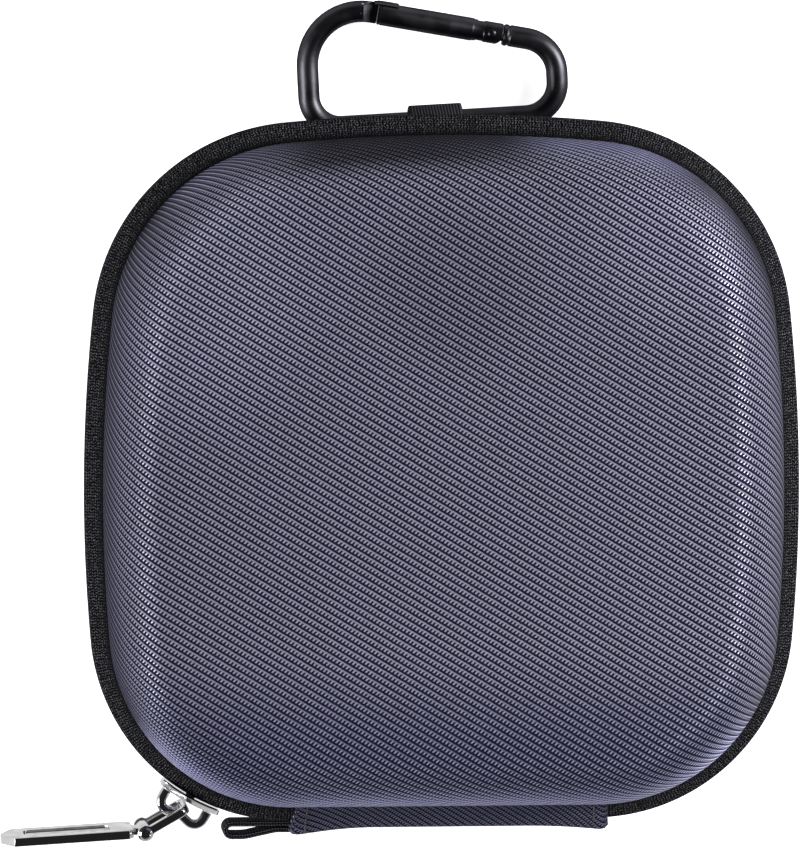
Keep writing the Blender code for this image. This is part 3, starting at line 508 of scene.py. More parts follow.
coilFinish = {"clean": (0.010, 0.010, 0.012), "rubbed": (0.022, 0.022, 0.025), "marks": 0.002}
nickelFinish = {
    "clean": (0.60, 0.59, 0.60), "rubbed": (0.47, 0.46, 0.475), "marks": 0.003,
    "roughness": (0.07, 0.17), "grain": 0.000009,
}
blackFinish = {
    "clean": (0.042, 0.041, 0.047), "rubbed": (0.058, 0.057, 0.064), "marks": 0.005,
    "roughness": (0.32, 0.40), "grain": 0.000006, "edge": (0.30, 0.30, 0.32),
}
steelFinish = {"clean": (0.46, 0.46, 0.47), "rubbed": (0.30, 0.30, 0.31), "marks": 0.002, "grain": 0.000004}
threadFinish = {"clean": (0.030, 0.030, 0.028), "rubbed": (0.075, 0.075, 0.070), "marks": 0.0006, "grain": 0.00003}
nylonCoil = handledLook("black_nylon_coil", coilFinish, Roughness=0.35)
brightNickel = handledLook("bright_nickel", nickelFinish, Metallic=1.0)
anodised = handledLook("black_anodised", blackFinish, Metallic=1.0, Specular_Tint=blackFinish["edge"])
springSteel = handledLook("spring_steel", steelFinish, Roughness=0.3, Metallic=1.0)
sewingThread = handledLook("sewing_thread", threadFinish, "Rub", Roughness=0.6)

netFinish = {"thread": (0.030, 0.030, 0.032), "worn": (0.055, 0.055, 0.058), "pitch": 0.0016, "open": 0.62}
blackNet, tree, shader = newLook("black_net", Roughness=0.6)
cloth = split(clothPlace(tree))
acrossNet, alongNet = cloth["X"] / netFinish["pitch"], cloth["Y"] / (netFinish["pitch"] * 0.9)
holes = abs(calc("SINE", (acrossNet + alongNet) * math.pi)) * abs(calc("SINE", (acrossNet - alongNet) * math.pi))
fill(shader["Base Color"], mixed(holes, netFinish["worn"], netFinish["thread"]))
fill(shader["Alpha"], calc("LESS_THAN", holes, netFinish["open"] ** 2))
print("looks built")


# Mesh building

def smoothed(mesh, sharpAngle):
    mesh.shade_smooth()
    mesh.set_sharp_from_angle(angle=math.radians(sharpAngle))


def linked(name, data):
    piece = bpy.data.objects.new(name, data)
    scene.collection.objects.link(piece)
    return piece


def fromBmesh(name, bm, look, sharpAngle=35):
    bmesh.ops.recalc_face_normals(bm, faces=bm.faces)
    mesh = bpy.data.meshes.new(name)
    bm.to_mesh(mesh)
    bm.free()
    mesh.materials.append(look)
    smoothed(mesh, sharpAngle)
    return linked(name, mesh)


def plainPlace(i, j):
    return i * millimetre, j * millimetre


def skin(
    name, rows, look, clothOf=plainPlace, closeAround=True, closeAlong=False, caps=False, sharpAngle=35, pole=None
):
    # faces between rings of points, with their place on the cloth from a function of both steps
    bm = bmesh.new()
    clothLayer = bm.loops.layers.uv.new("cloth")
    verts = [[bm.verts.new(point) for point in ring] for ring in rows]
    around, last = len(rows[0]), len(rows) - 1

    def addFace(corners, steps):
        for loop, step in zip(bm.faces.new(corners).loops, steps):
            loop[clothLayer].uv = clothOf(*step)

    for i in range(len(rows) if closeAlong else last):
        for j in range(around if closeAround else around - 1):
            steps = [(i, j), (i, j + 1), (i + 1, j + 1), (i + 1, j)]
            addFace([verts[a % len(rows)][b % around] for a, b in steps], steps)
    if caps:
        for index in (0, last):
            addFace(verts[index], [(index, j) for j in range(around)])
    if pole is not None:
        tip = bm.verts.new(pole)
        for j in range(around):
            addFace((verts[last][j], verts[last][(j + 1) % around], tip), [(last, j), (last, j + 1), (last + 1, j)])
    return fromBmesh(name, bm, look, sharpAngle)


def evaluated(piece):
    bpy.context.view_layer.update()
    graph = bpy.context.evaluated_depsgraph_get()
    return bpy.data.meshes.new_from_object(piece.evaluated_get(graph))


def removed(*pieces):
    for piece in pieces:
        bpy.data.objects.remove(piece, do_unlink=True)


def settled(piece):
    mesh = evaluated(piece)
    piece.modifiers.clear()
    piece.data = mesh
    return piece


def solid(piece, thickness, offset=-1.0):
    wall = piece.modifiers.new("wall", "SOLIDIFY")
    wall.thickness, wall.offset, wall.use_even_offset = thickness, offset, True
    return settled(piece)


def combine(piece, operation, *others):
    for other in others:
        change = piece.modifiers.new(operation.lower(), "BOOLEAN")
        change.operation, change.object = operation, other


def roundEdges(piece, width, segments=3, sharpAngle=None):
    edges = piece.modifiers.new("edges", "BEVEL")
    edges.width, edges.segments = width, segments
    if sharpAngle is not None:
        edges.limit_method, edges.angle_limit = "ANGLE", math.radians(sharpAngle)


def runLengths(points):
    lengths = [0.0]
    for before, after in zip(points, points[1:]):
        lengths.append(lengths[-1] + (Vector(after) - Vector(before)).length)
    return lengths


def sidesOf(path):
    # the direction to the left at each point of a flat path
    ends = zip([path[0], *path[:-1]], [*path[1:], path[-1]])
    return [leftOf((after - before).normalized()) for before, after in ends]


def ribbon(name, path, thickness, widthAt, corner, look, toWorld):
    # a strap along a flat path, its width across the path's plane, with rounded edges
    lengths = runLengths(path)
    section = [(turn // 4, heading(math.pi / 2 * (turn // 4 + turn % 4 / 3)) * corner) for turn in range(16)]
    rings = []
    for point, normal, length in zip(path, sidesOf(path), lengths):
        wide = widthAt(length, lengths[-1]) if callable(widthAt) else widthAt
        ring = []
        for quarter, rounding in section:
            outward = (thickness / 2 - corner) * (1 if quarter in (0, 3) else -1) + rounding.x
            sideways = (wide / 2 - corner) * (1 if quarter in (0, 1) else -1) + rounding.y
            ring.append(toWorld @ Vector((*(point + normal * outward), sideways)))
        rings.append(ring)
    girth = runLengths(rings[0] + rings[0][:1])
    return skin(name, rings, look, lambda i, j: (girth[j], lengths[i]), caps=True, sharpAngle=50)


def turned(name, profile, look, toWorld=asPlaced, sides=48):
    # a round piece about the local X axis, from places along and radii
    spokes = [heading(2 * math.pi * turn / sides) for turn in range(sides)]
    rings = [[toWorld @ Vector((along, *(spoke * radius))) for spoke in spokes] for along, radius in profile]
    return skin(name, rings, look, caps=True)


def prism(name, outline, low, high, look, toWorld=asPlaced, edge=0.0):
    # an upright block from a flat outline, with its sharp edges rounded
    bm = bmesh.new()
    base = bm.faces.new([bm.verts.new((x, y, low)) for x, y in outline])
    raised = bmesh.ops.extrude_face_region(bm, geom=[base])
    tops = [item for item in raised["geom"] if isinstance(item, bmesh.types.BMVert)]
    bmesh.ops.translate(bm, vec=(0, 0, high - low), verts=tops)
    bmesh.ops.recalc_face_normals(bm, faces=bm.faces)
    if edge:
        sharp = [e for e in bm.edges if e.is_manifold and e.calc_face_angle() > math.radians(30)]
        bmesh.ops.bevel(bm, geom=sharp, offset=edge, segments=3, profile=0.5, affect="EDGES")
    bmesh.ops.transform(bm, matrix=toWorld, verts=bm.verts)
    bm.loops.layers.uv.new("cloth")
    return fromBmesh(name, bm, look)


def filleted(*corners, turnStep=7):
    # points along a bent line, from places with their bend radii
    places = [Vector((x, y)) for x, y, _ in corners]
    points = [places[0].copy()]
    for before, corner, after, (_, _, radius) in zip(places, places[1:], places[2:], corners[1:]):
        incoming, outgoing = (corner - before).normalized(), (after - corner).normalized()
        turn = incoming.angle_signed(outgoing)
        if radius == 0 or abs(turn) < 1e-6:
            points.append(corner.copy())
            continue
        start = corner - incoming * radius * math.tan(abs(turn) / 2)
        centre = start + leftOf(incoming) * radius * (-1 if turn > 0 else 1)
        steps = max(2, math.ceil(abs(turn) / math.radians(turnStep)))
        for step in range(steps + 1):
            arm = start - centre
            arm.rotate(Matrix.Rotation(-turn * step / steps, 2))
            if (centre + arm - points[-1]).length > 1e-6:
                points.append(centre + arm)
    points.append(places[-1].copy())
    return points


def spaced(points, spacing):
    # the same line with points at equal distances
    lengths = runLengths(points)
    count = max(2, round(lengths[-1] / spacing))
    made, index = [], 0
    for step in range(count + 1):
        wanted = lengths[-1] * step / count
        while index < len(lengths) - 2 and lengths[index + 1] < wanted:
            index += 1
        share = (wanted - lengths[index]) / max(lengths[index + 1] - lengths[index], 1e-9)
        made.append(points[index].lerp(points[index + 1], min(1.0, max(0.0, share))))
    return made


def block(lowX, lowY, highX, highY):
    return [(lowX, lowY), (highX, lowY), (highX, highY), (lowX, highY)]


def roundedBlock(lowX, lowY, highX, highY, radius):
    # the outline starts and ends in the middle of the left side
    middle = (lowY + highY) / 2
    return filleted(
        (lowX, middle, 0), (lowX, lowY, radius), (highX, lowY, radius), (highX, highY, radius),
        (lowX, highY, radius), (lowX, middle + 0.00005, 0), turnStep=15,
    )


def finished(piece, body, slot, node=None):
    if node:
        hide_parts(node)
    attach(piece, body)


# Shells: cover, foam core and lining of both halves
shellSizes = {
    "edgeInset": 0.0039,
    "edgeRise": 0.0060,
    "roundWidth": 0.0135,
    "roundRise": 0.0205,
    "cover": 0.0009,
    "core": 0.0026,
    "lining": 0.0006,
    "gap": 0.00035,
    "coreEdgeRise": 0.0002,
    "liningEdgeRise": 0.0014,
    "lidCrown": 0.0015,
    "roundEnd": math.radians(87.4),
    "lipCurl": 0.0005,
    "roundSteps": 20,
    "topRings": 14,
    "spacing": 0.0016,
}
edgeInset, edgeRise = shellSizes["edgeInset"], shellSizes["edgeRise"]
shellStops = rimStops(0, wholeRim, shellSizes["spacing"])[:-1]
shellRim = [rimAt(stop) for stop in shellStops]


def wallProfile(depth, lowRise):
    profile = [(edgeInset + depth, lowRise)] if lowRise < edgeRise else []
    wide, tall = shellSizes["roundWidth"], shellSizes["roundRise"]
    for step in range(shellSizes["roundSteps"] + 1):
        arm = heading(shellSizes["roundEnd"] * step / shellSizes["roundSteps"])
        normal = Vector((arm.x / wide, arm.y / tall)).normalized()
        profile.append((
            edgeInset + wide - (wide * arm.x - depth * normal.x), edgeRise + tall * arm.y - depth * normal.y,
        ))
    return profile


def bowl(name, profile, side, look, crown):
    # rings up the wall, then over the flat face to its middle
    lengths = runLengths(profile)
    flatInset, flatRise = profile[-1]
    rows, places = [], []
    for (inset, rise), length in zip(profile, lengths):
        rows.append([inside(place, inset, parting + side * rise) for place in shellRim])
        places.append([point - normal * (flatInset + length - lengths[-1]) for point, normal in shellRim])
    for step in range(1, shellSizes["topRings"]):
        share = 1 - step / shellSizes["topRings"]
        height = parting + side * (flatRise + crown * (1 - share ** 3))
        places.append([(point - normal * flatInset) * share for point, normal in shellRim])
        rows.append([Vector((*place, height)) for place in places[-1]])

    def clothOf(i, j):
        return places[i][j % len(shellRim)] if i < len(places) else (0, 0)

    pole = Vector((0, 0, parting + side * (flatRise + crown)))
    return skin(name, rows, look, clothOf, sharpAngle=60, pole=pole)


curl = shellSizes["lipCurl"]
coverLip = [
    (edgeInset + curl * inward, edgeRise + curl * upward)
    for inward, upward in ((1, 0.35), (0.45, 0.05), (0.1, 0.2), (0, 0.8))
]
coreDepth = shellSizes["cover"] + shellSizes["gap"]
liningDepth = coreDepth + shellSizes["core"] + shellSizes["gap"]
interiorDepth = liningDepth + shellSizes["lining"]
shellLayers = [
    ("cover", coverLip + wallProfile(0, edgeRise)[1:], navyWeave, "navy_weave"),
    ("core", wallProfile(coreDepth, shellSizes["coreEdgeRise"]), evaFoam, "eva_foam"),
    ("lining", wallProfile(liningDepth, shellSizes["liningEdgeRise"]), tricot, "tricot_lining"),
]
for half, side, body, crown in (("base", -1, "back_shell", 0.0), ("lid", 1, "lid", shellSizes["lidCrown"])):
    for layer, profile, look, slot in shellLayers:
        shell = solid(bowl(half + layer.capitalize(), profile, side, look, crown), shellSizes[layer])
        finished(shell, body, slot, half + "_" + layer)
print("shells built")


# Zipper tapes, bindings and coils
zipSizes = {
    # insets and rises round the tape's section
    "tapeSection": [
        (0.00055, 0.00052), (0.00026, 0.00054), (0.00008, 0.00072), (0.00002, 0.00115), (0.00008, 0.00160),
        (0.00030, 0.00200), (0.00075, 0.00234), (0.00140, 0.00268), (0.00210, 0.00310), (0.00280, 0.00362),
        (0.00345, 0.00425), (0.00392, 0.00492), (0.00415, 0.00540), (0.00420, 0.00570), (0.00480, 0.00570),
        (0.00475, 0.00500), (0.00420, 0.00420), (0.00340, 0.00340), (0.00250, 0.00268), (0.00170, 0.00222),
        (0.00095, 0.00192), (0.00056, 0.00160), (0.00042, 0.00120), (0.00046, 0.00085),
    ],
    "spacing": 0.0016,
    "coilPitch": 0.00125,
    "coilWire": 0.00026,
    "coilMiddleInset": 0.00132,
    "coilMiddleRise": 0.00116,
    "coilHalfWidth": 0.00060,
    "coilHalfHeight": 0.00028,
    "coilPointsPerTurn": 8,
    "bindingThickness": 0.0010,
    "bindingHeight": 0.0058,
    "bindingEdgeRise": 0.0008,
    "sliderAngle": math.radians(240.3),
    "sliderLength": 0.0142,
    "stopLength": 0.0018,
}


def band(name, section, stops, side, closed):
    # a closed section of insets and rises carried round the rim
    girth = runLengths(section + section[:1])
    rows = []
    for place in map(rimAt, stops):
        rows.append([inside(place, inset, parting + side * rise) for inset, rise in section])
    lengths = list(stops) + [wholeRim]
    return skin(
        name, rows, knitTape, lambda i, j: (lengths[i], girth[j]), closeAlong=closed, caps=not closed, sharpAngle=50
    )


def coil(name, start, end, side):
    data = bpy.data.curves.new(name, "CURVE")
    data.dimensions = "3D"
    data.bevel_depth = zipSizes["coilWire"]
    data.bevel_resolution = 1
    data.use_fill_caps = True
    last = round((end - start) / zipSizes["coilPitch"]) * zipSizes["coilPointsPerTurn"]
    spline = data.splines.new("POLY")
    spline.points.add(last)
    for index in range(last + 1):
        turn = heading(2 * math.pi * index / zipSizes["coilPointsPerTurn"])
        inset = zipSizes["coilMiddleInset"] - turn.x * zipSizes["coilHalfWidth"]
        rise = zipSizes["coilMiddleRise"] + turn.y * zipSizes["coilHalfHeight"]
        place = rimAt(start + (end - start) * index / last)
        spline.points[index].co = (*inside(place, inset, parting + side * rise), 1)
    data.materials.append(nylonCoil)
    curve = linked(name, data)
    mesh = evaluated(curve)
    removed(curve)
    mesh.shade_smooth()
    return linked(name, mesh)


tapeStart = hingeSideDistance(spineRight + gap)
tapeEnd = wholeRim + hingeSideDistance(spineLeft - gap)
tapeStops = rimStops(tapeStart, tapeEnd, zipSizes["spacing"])
insideInset = edgeInset + interiorDepth + gap
thick = zipSizes["bindingThickness"]
bindingSection = []
for firstTurn, lift in ((0, 0), (180, zipSizes["bindingHeight"] - thick)):
    for turn in range(firstTurn, firstTurn + 181, 30):
        arm = heading(math.radians(turn)) * thick / 2
        bindingSection.append((
            insideInset + thick / 2 - arm.x, zipSizes["bindingEdgeRise"] + lift + thick / 2 - arm.y,
        ))
sliderStop = wholeRim - (hingeCornerAcross + (math.pi * 3 / 2 - zipSizes["sliderAngle"]) * cornerRadius)
chainStart = tapeStart + zipSizes["stopLength"] + 2 * gap
halfSlider = zipSizes["sliderLength"] / 2
for half, side, body, chainEnd in (
    ("base", -1, "back_shell", sliderStop + halfSlider), ("lid", 1, "lid", sliderStop - halfSlider - 2 * gap),
):
    tape = band(half + "ZipTape", zipSizes["tapeSection"], tapeStops, side, False)
    finished(tape, body, "black_tape", half + "_zip_tape")
    finished(band(half + "Binding", bindingSection, shellStops, side, True), body, "black_tape", half + "_binding")
    finished(coil(half + "ZipCoil", chainStart, chainEnd, side), body, "nylon_coil", half + "_zip_coil")
print("zipper built")

# Spine strip with a row of stitches near each end
spineSizes = {
    "thickness": 0.0012,
    "bulge": 0.0012,
    "leftExtra": 0.0018,
    "rightExtra": 0.0011,
    "fade": 0.0180,
    "seamLength": 0.0013,
    "stepsAlong": 56,
    "stepsAcross": 36,
    "cornerRadius": 0.0020,
    "cornerDepth": 0.16,
    "flare": 0.0009,
    "flareLength": 0.0050,
    "flareFrom": 0.3,
    "flareOver": 0.4,
    "clothTurn": math.radians(4),
    "clothScale": 1.35,
    "stitchLeft": 0.0027,
    "stitchRight": 0.0030,
    "stitchReach": 0.82,
    "stitchLength": 0.0016,
    "stitchGap": 0.0006,
    "stitchRadius": 0.00022,
}
spineTop = edgeRise - gap
spineSeamInset = edgeInset + coreDepth - gap - spineSizes["thickness"] / 2


def fadeOver(distance, length):
    return max(0, 1 - distance / length)


def spineAt(along, rise):
    # the strip's middle surface, a little drawn in at its two ends
    fromLeft, fromRight = along - spineLeft, spineRight - along
    bulge = spineSizes["bulge"] + spineSizes["leftExtra"] * fadeOver(fromLeft, spineSizes["fade"]) ** 2
    bulge += spineSizes["rightExtra"] * fadeOver(fromRight, spineSizes["fade"]) ** 2
    lift = math.cos(math.pi / 2 * min(abs(rise) / (spineTop - spineSizes["seamLength"]), 1)) ** 2
    short = fadeOver(max(min(fromLeft, fromRight), 0), spineSizes["cornerRadius"])
    rounding = 1 - spineSizes["cornerDepth"] * (1 - math.sqrt(1 - short ** 2))
    inset = spineSeamInset - (spineSeamInset + bulge) * lift * rounding
    reach = fadeOver(fromLeft, spineSizes["flareLength"])
    reach *= min(1, max(0, (lift - spineSizes["flareFrom"]) / spineSizes["flareOver"]))
    return Vector((along - spineSizes["flare"] * reach, -hingeReach + inset, parting + rise))


def spineStrip():
    rows, places = [], []
    turnIn = Matrix.Rotation(spineSizes["clothTurn"], 2)
    rises = rimStops(-spineTop, spineTop, 2 * spineTop / spineSizes["stepsAcross"])
    for step in range(spineSizes["stepsAlong"] + 1):
        share = step / spineSizes["stepsAlong"]
        crowded = share - math.sin(4 * math.pi * share) / (4 * math.pi) * 0.5
        along = spineLeft + (spineRight - spineLeft) * crowded
        rows.append([spineAt(along, rise) for rise in rises])
        lengths = runLengths(rows[-1])
        places.append([turnIn @ Vector((along, length)) * spineSizes["clothScale"] for length in lengths])
    strip = skin("spineStrip", rows, navyWeave, lambda i, j: places[i][j], closeAround=False, sharpAngle=60)
    return solid(strip, spineSizes["thickness"], 0.0)


def stitchRow(name, along):
    bm = bmesh.new()
    reach, radius = spineTop * spineSizes["stitchReach"], spineSizes["stitchRadius"]
    line = spaced([spineAt(along, reach * (step / 30 - 1)) for step in range(61)], 0.0002)
    lengths = runLengths(line)
    index = 0
    while lengths[index] + spineSizes["stitchLength"] < lengths[-1]:
        last = index
        while lengths[last] - lengths[index] < spineSizes["stitchLength"]:
            last += 1
        first, final = line[index], line[last]
        run = (final - first).normalized()
        outward = Vector((0, -run.z, run.y)).normalized()
        if outward.y > 0:
            outward = -outward
        rings = []
        for step in range(7):
            swell = math.sin(math.pi * min(max(step / 6, 0.06), 0.94)) ** 0.5
            proud = spineSizes["thickness"] / 2 + radius * (1.3 * swell - 0.7)
            middle = first.lerp(final, step / 6) + outward * proud
            spokes = [heading(math.pi / 4 * turn) * radius * swell for turn in range(8)]
            rings.append([bm.verts.new(middle + outward * spoke.x + Vector((spoke.y, 0, 0))) for spoke in spokes])
        for near, far in zip(rings, rings[1:]):
            for turn in range(8):
                bm.faces.new((near[turn], near[(turn + 1) % 8], far[(turn + 1) % 8], far[turn]))
        bm.faces.new(rings[0])
        bm.faces.new(rings[-1])
        while index < len(lengths) - 1 and lengths[index] - lengths[last] < spineSizes["stitchGap"]:
            index += 1
    return fromBmesh(name, bm, sewingThread)


strip = spineStrip()
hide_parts("spine_strip")
leftStitches = stitchRow("spineStitchesLeft", spineLeft + spineSizes["stitchLeft"])
rightStitches = stitchRow("spineStitchesRight", spineRight - spineSizes["stitchRight"])
for piece, slot in ((strip, "navy_weave"), (leftStitches, "black_tape"), (rightStitches, "black_tape")):
    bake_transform(piece)
print("spine strip built")

# Finger loop beside the spine strip
loopSizes = {
    "length": 0.0148,
    "width": 0.0080,
    "ply": 0.0012,
    "gap": 0.0016,
    "eyeShare": 0.55,
    "neckShare": 0.45,
    "neckBend": 0.0060,
    "rootBend": 0.0050,
    "corner": 0.0005,
    "step": 0.0003,
}
ply = loopSizes["ply"]
pathLength = loopSizes["length"] - ply / 2
eyeLength = pathLength * loopSizes["eyeShare"]
eyeTop, eyeStart = (loopSizes["gap"] + ply) / 2, eyeLength - pathLength
lowerRoot = eyeTop - gap / 2 - ply
loopPath = spaced(
    filleted(
        (0, eyeTop, 0), (-pathLength, eyeTop, eyeTop), (-pathLength, -eyeTop, eyeTop),
        (eyeStart - eyeLength * loopSizes["neckShare"], -eyeTop, loopSizes["neckBend"]),
        (eyeStart / 2, lowerRoot, loopSizes["rootBend"]), (0, lowerRoot, 0),
    ),
    loopSizes["step"],
)
loopPlace = moved(
    spineLeft - spineSizes["flare"] - gap / 4, -(hingeReach + gap + eyeTop + ply / 2),
    parting - gap - loopSizes["width"] / 2,
)
fingerLoop = ribbon("fingerLoop", loopPath, ply, loopSizes["width"], loopSizes["corner"], webbing, loopPlace)
finished(fingerLoop, "back_shell", "black_webbing", "finger_loop")
print("finger loop built")

# Foam tray with its round well and finger notches
traySizes = {
    "topDrop": 0.0080,
    "topEdge": 0.0006,
    "wellRadius": 0.0520,
    "wellFloor": 0.0030,
    "notchRadius": 0.0110,
    "notchReach": 0.0530,
    "edge": 0.0008,
}


def wellOutline():
    # the well's circle with a notch circle on each side
    well, notch, reach = traySizes["wellRadius"], traySizes["notchRadius"], traySizes["notchReach"]
    crossing = (reach ** 2 + well ** 2 - notch ** 2) / (2 * reach)
    height = math.sqrt(well ** 2 - crossing ** 2)
    wellTurn, notchTurn = math.atan2(height, crossing), math.atan2(height, crossing - reach)
    outline = []
    for side in (1, -1):
        for step in range(33):
            outline.append(side * (Vector((reach, 0)) + heading(notchTurn * (step / 16 - 1)) * notch))
        for step in range(1, 60):
            outline.append(side * heading(wellTurn + (math.pi - 2 * wellTurn) * step / 60) * well)
    return outline


trayDepth, trayDrop = interiorDepth + gap, traySizes["topDrop"]
trayProfile = [
    (edgeInset + trayDepth + traySizes["topEdge"], trayDrop), (edgeInset + trayDepth, trayDrop + traySizes["topEdge"]),
    *wallProfile(trayDepth, edgeRise)[4:],
]
trayRows = [[inside(place, inset, parting - rise) for place in shellRim] for inset, rise in trayProfile]
foamTray = skin("foamTray", trayRows, greyFoam, caps=True)
opening = prism(
    "trayOpening", wellOutline(), trayDepth + traySizes["wellFloor"], parting - trayDrop + millimetre, greyFoam
)
combine(foamTray, "DIFFERENCE", opening)
roundEdges(foamTray, traySizes["edge"], sharpAngle=50)
settled(foamTray)
removed(opening)
finished(foamTray, "back_shell", "soft_foam", "foam_tray")
print("foam tray built")

# Net pocket in the lid with an elastic hem
pocketSizes = {
    "rise": 0.0075,
    "netLift": 0.0003,
    "hemLift": 0.0007,
    "seam": 0.0002,
    "hemLine": 0.0300,
    "hemWidth": 0.0070,
    "hemThickness": 0.0013,
    "ruffle": 0.00018,
    "rufflePitch": 0.0032,
}
hemLine, ruffle = pocketSizes["hemLine"], pocketSizes["ruffle"]
pocketEdge = [inside(rimAt(stop), insideInset, 0) for stop in rimStops(0, halfRim, 0.0002)]


def reachAt(level):
    # how far the pocket reaches to each side at a distance from the hinge
    for before, after in zip(pocketEdge, pocketEdge[1:]):
        if before.y <= level <= after.y and after.y > before.y:
            return before.x + (after.x - before.x) * (level - before.y) / (after.y - before.y)
    return 0.0


def pocketSheet(name, low, high, lift, look, rows, columns, ruffle):
    grid = []
    for i in range(rows + 1):
        level = low + (high - low) * i / rows
        reach, line = reachAt(level), []
        for j in range(columns + 1):
            across = reach * (2 * j / columns - 1)
            wavy = ruffle * math.sin(2 * math.pi * across / pocketSizes["rufflePitch"])
            line.append(Vector((across, level, parting + pocketSizes["rise"] + lift + wavy)))
        grid.append(line)
    return skin(name, grid, look, lambda i, j: grid[i][j].xy, closeAround=False, sharpAngle=70)


pocketLow = -hingeReach + insideInset + pocketSizes["seam"]
netPocket = pocketSheet("netPocket", pocketLow, hemLine, pocketSizes["netLift"], blackNet, 40, 60, 0.0)
netArea = sum(face.area for face in netPocket.data.polygons)
finished(netPocket, "lid", "black_net", "mesh_pocket")
pocketHem = solid(
    pocketSheet(
        "pocketHem", hemLine + gap, hemLine + gap + pocketSizes["hemWidth"], pocketSizes["hemLift"],
        webbing, 8, 220, ruffle,
    ),
    pocketSizes["hemThickness"] - 2 * ruffle, 0.0,
)
finished(pocketHem, "lid", "black_webbing", "pocket_hem")
netLong = hemLine - pocketLow
netWide = 2 * max(reachAt(pocketLow + netLong * step / 40) for step in range(41))
min(netArea, netWide * netLong)
print("net pocket built")

# Zip slider with its bail
sliderSizes = {
    "height": 0.0076,
    "plate": 0.0013,
    # shares of the half length and of the half height
    "plateShape": [
        (-1.0, 0.70), (-0.96, 0.86), (-0.86, 0.96), (-0.62, 1.0), (-0.30, 0.99), (0.0, 0.97),
        (0.30, 0.94), (0.60, 0.86), (0.86, 0.79), (0.96, 0.72), (1.0, 0.58),
    ],
    "innerLength": 0.0080,
    "innerHeight": 0.0034,
    "innerThickness": 0.0012,
    "innerCorner": 0.0008,
    "innerEdge": 0.0002,
    "webLength": 0.0022,
    "webThickness": 0.0006,
    "webEdge": 0.0001,
    "runningGap": 0.0003,
    "innerGap": 0.0007,
    "coilWidth": 0.0022,
    "edge": 0.00022,
    "slope": 0.78,
    "bailThickness": 0.0021,
    "bailWidth": 0.0030,
    "bailCorner": 0.00070,
    "bailSeat": 0.0001,
    "bailStep": 0.00025,
    "leftFoot": -0.0053,
    "rightFoot": 0.0050,
    "leftLobe": 0.0044,
    "rightLobe": 0.0046,
    "dip": 0.0032,
}
sliderPlace = moved(-hingeCornerCentre.x, hingeCornerCentre.y, parting) @ spun(zipSizes["sliderAngle"], "Z")
plateIn = cornerRadius + sliderSizes["runningGap"]
plateOut = plateIn + sliderSizes["plate"]
standing = Matrix(((0, 0, 1, 0), (1, 0, 0, 0), (0, 1, 0, 0), (0, 0, 0, 1)))


def roundedBox(lowX, highX, halfY, corner):
    points = []
    for quarter, (x, y) in enumerate((
        (highX - corner, halfY - corner), (lowX + corner, halfY - corner),
        (lowX + corner, corner - halfY), (highX - corner, corner - halfY),
    )):
        for step in range(5):
            points.append(Vector((x, y)) + heading(math.pi / 2 * (quarter + step / 4)) * corner)
    return points


plateRows = []
for share, tallness in sliderSizes["plateShape"]:
    slim = sliderSizes["edge"] * (0.8 if abs(share) == 1 else 0.0)
    section = roundedBox(
        plateIn + slim, plateOut - slim, sliderSizes["height"] / 2 * tallness, sliderSizes["edge"] - slim / 2
    )
    arm = heading(halfSlider * share / plateIn)
    ring = []
    for point in section:
        height = point.y - math.copysign((point.x - plateIn) * sliderSizes["slope"], point.y)
        ring.append(sliderPlace @ Vector((*(arm * point.x), height)))
    plateRows.append(ring)
outerPlate = skin("zipSlider", plateRows, brightNickel, caps=True, sharpAngle=40)
innerOut = cornerRadius - sliderSizes["coilWidth"] - sliderSizes["innerGap"]
innerHalf, innerTall = sliderSizes["innerLength"] / 2, sliderSizes["innerHeight"] / 2
innerPlate = prism(
    "zipSliderInnerPlate",
    roundedBlock(-innerHalf, -innerTall, innerHalf, innerTall, sliderSizes["innerCorner"]),
    innerOut - sliderSizes["innerThickness"], innerOut, brightNickel, sliderPlace @ standing,
    sliderSizes["innerEdge"],
)
webHalf, webTall = sliderSizes["webLength"] / 2, sliderSizes["webThickness"] / 2
sliderWeb = prism(
    "zipSliderWeb", block(-webHalf, -webTall, webHalf, webTall), innerOut - sliderSizes["innerThickness"] / 2,
    plateIn + sliderSizes["plate"] / 2, brightNickel, sliderPlace @ standing, sliderSizes["webEdge"],
)
finished(outerPlate, "slider", "bright_nickel", "zip_slider")
finished(innerPlate, "slider", "bright_nickel")
finished(sliderWeb, "slider", "bright_nickel")

bend, seat = sliderSizes["bailThickness"], plateOut - sliderSizes["bailSeat"]
bailPath = spaced(
    filleted(
        (seat, sliderSizes["leftFoot"], 0), (plateOut + sliderSizes["leftLobe"], sliderSizes["leftFoot"], bend),
        (plateOut + sliderSizes["dip"], 0, bend),
        (plateOut + sliderSizes["rightLobe"], sliderSizes["rightFoot"], bend), (seat, sliderSizes["rightFoot"], 0),
    ),
    sliderSizes["bailStep"],
)
bail = ribbon(
    "sliderBail", bailPath, bend, sliderSizes["bailWidth"], sliderSizes["bailCorner"], brightNickel, sliderPlace
)
finished(bail, "slider", "bright_nickel", "slider_bail")

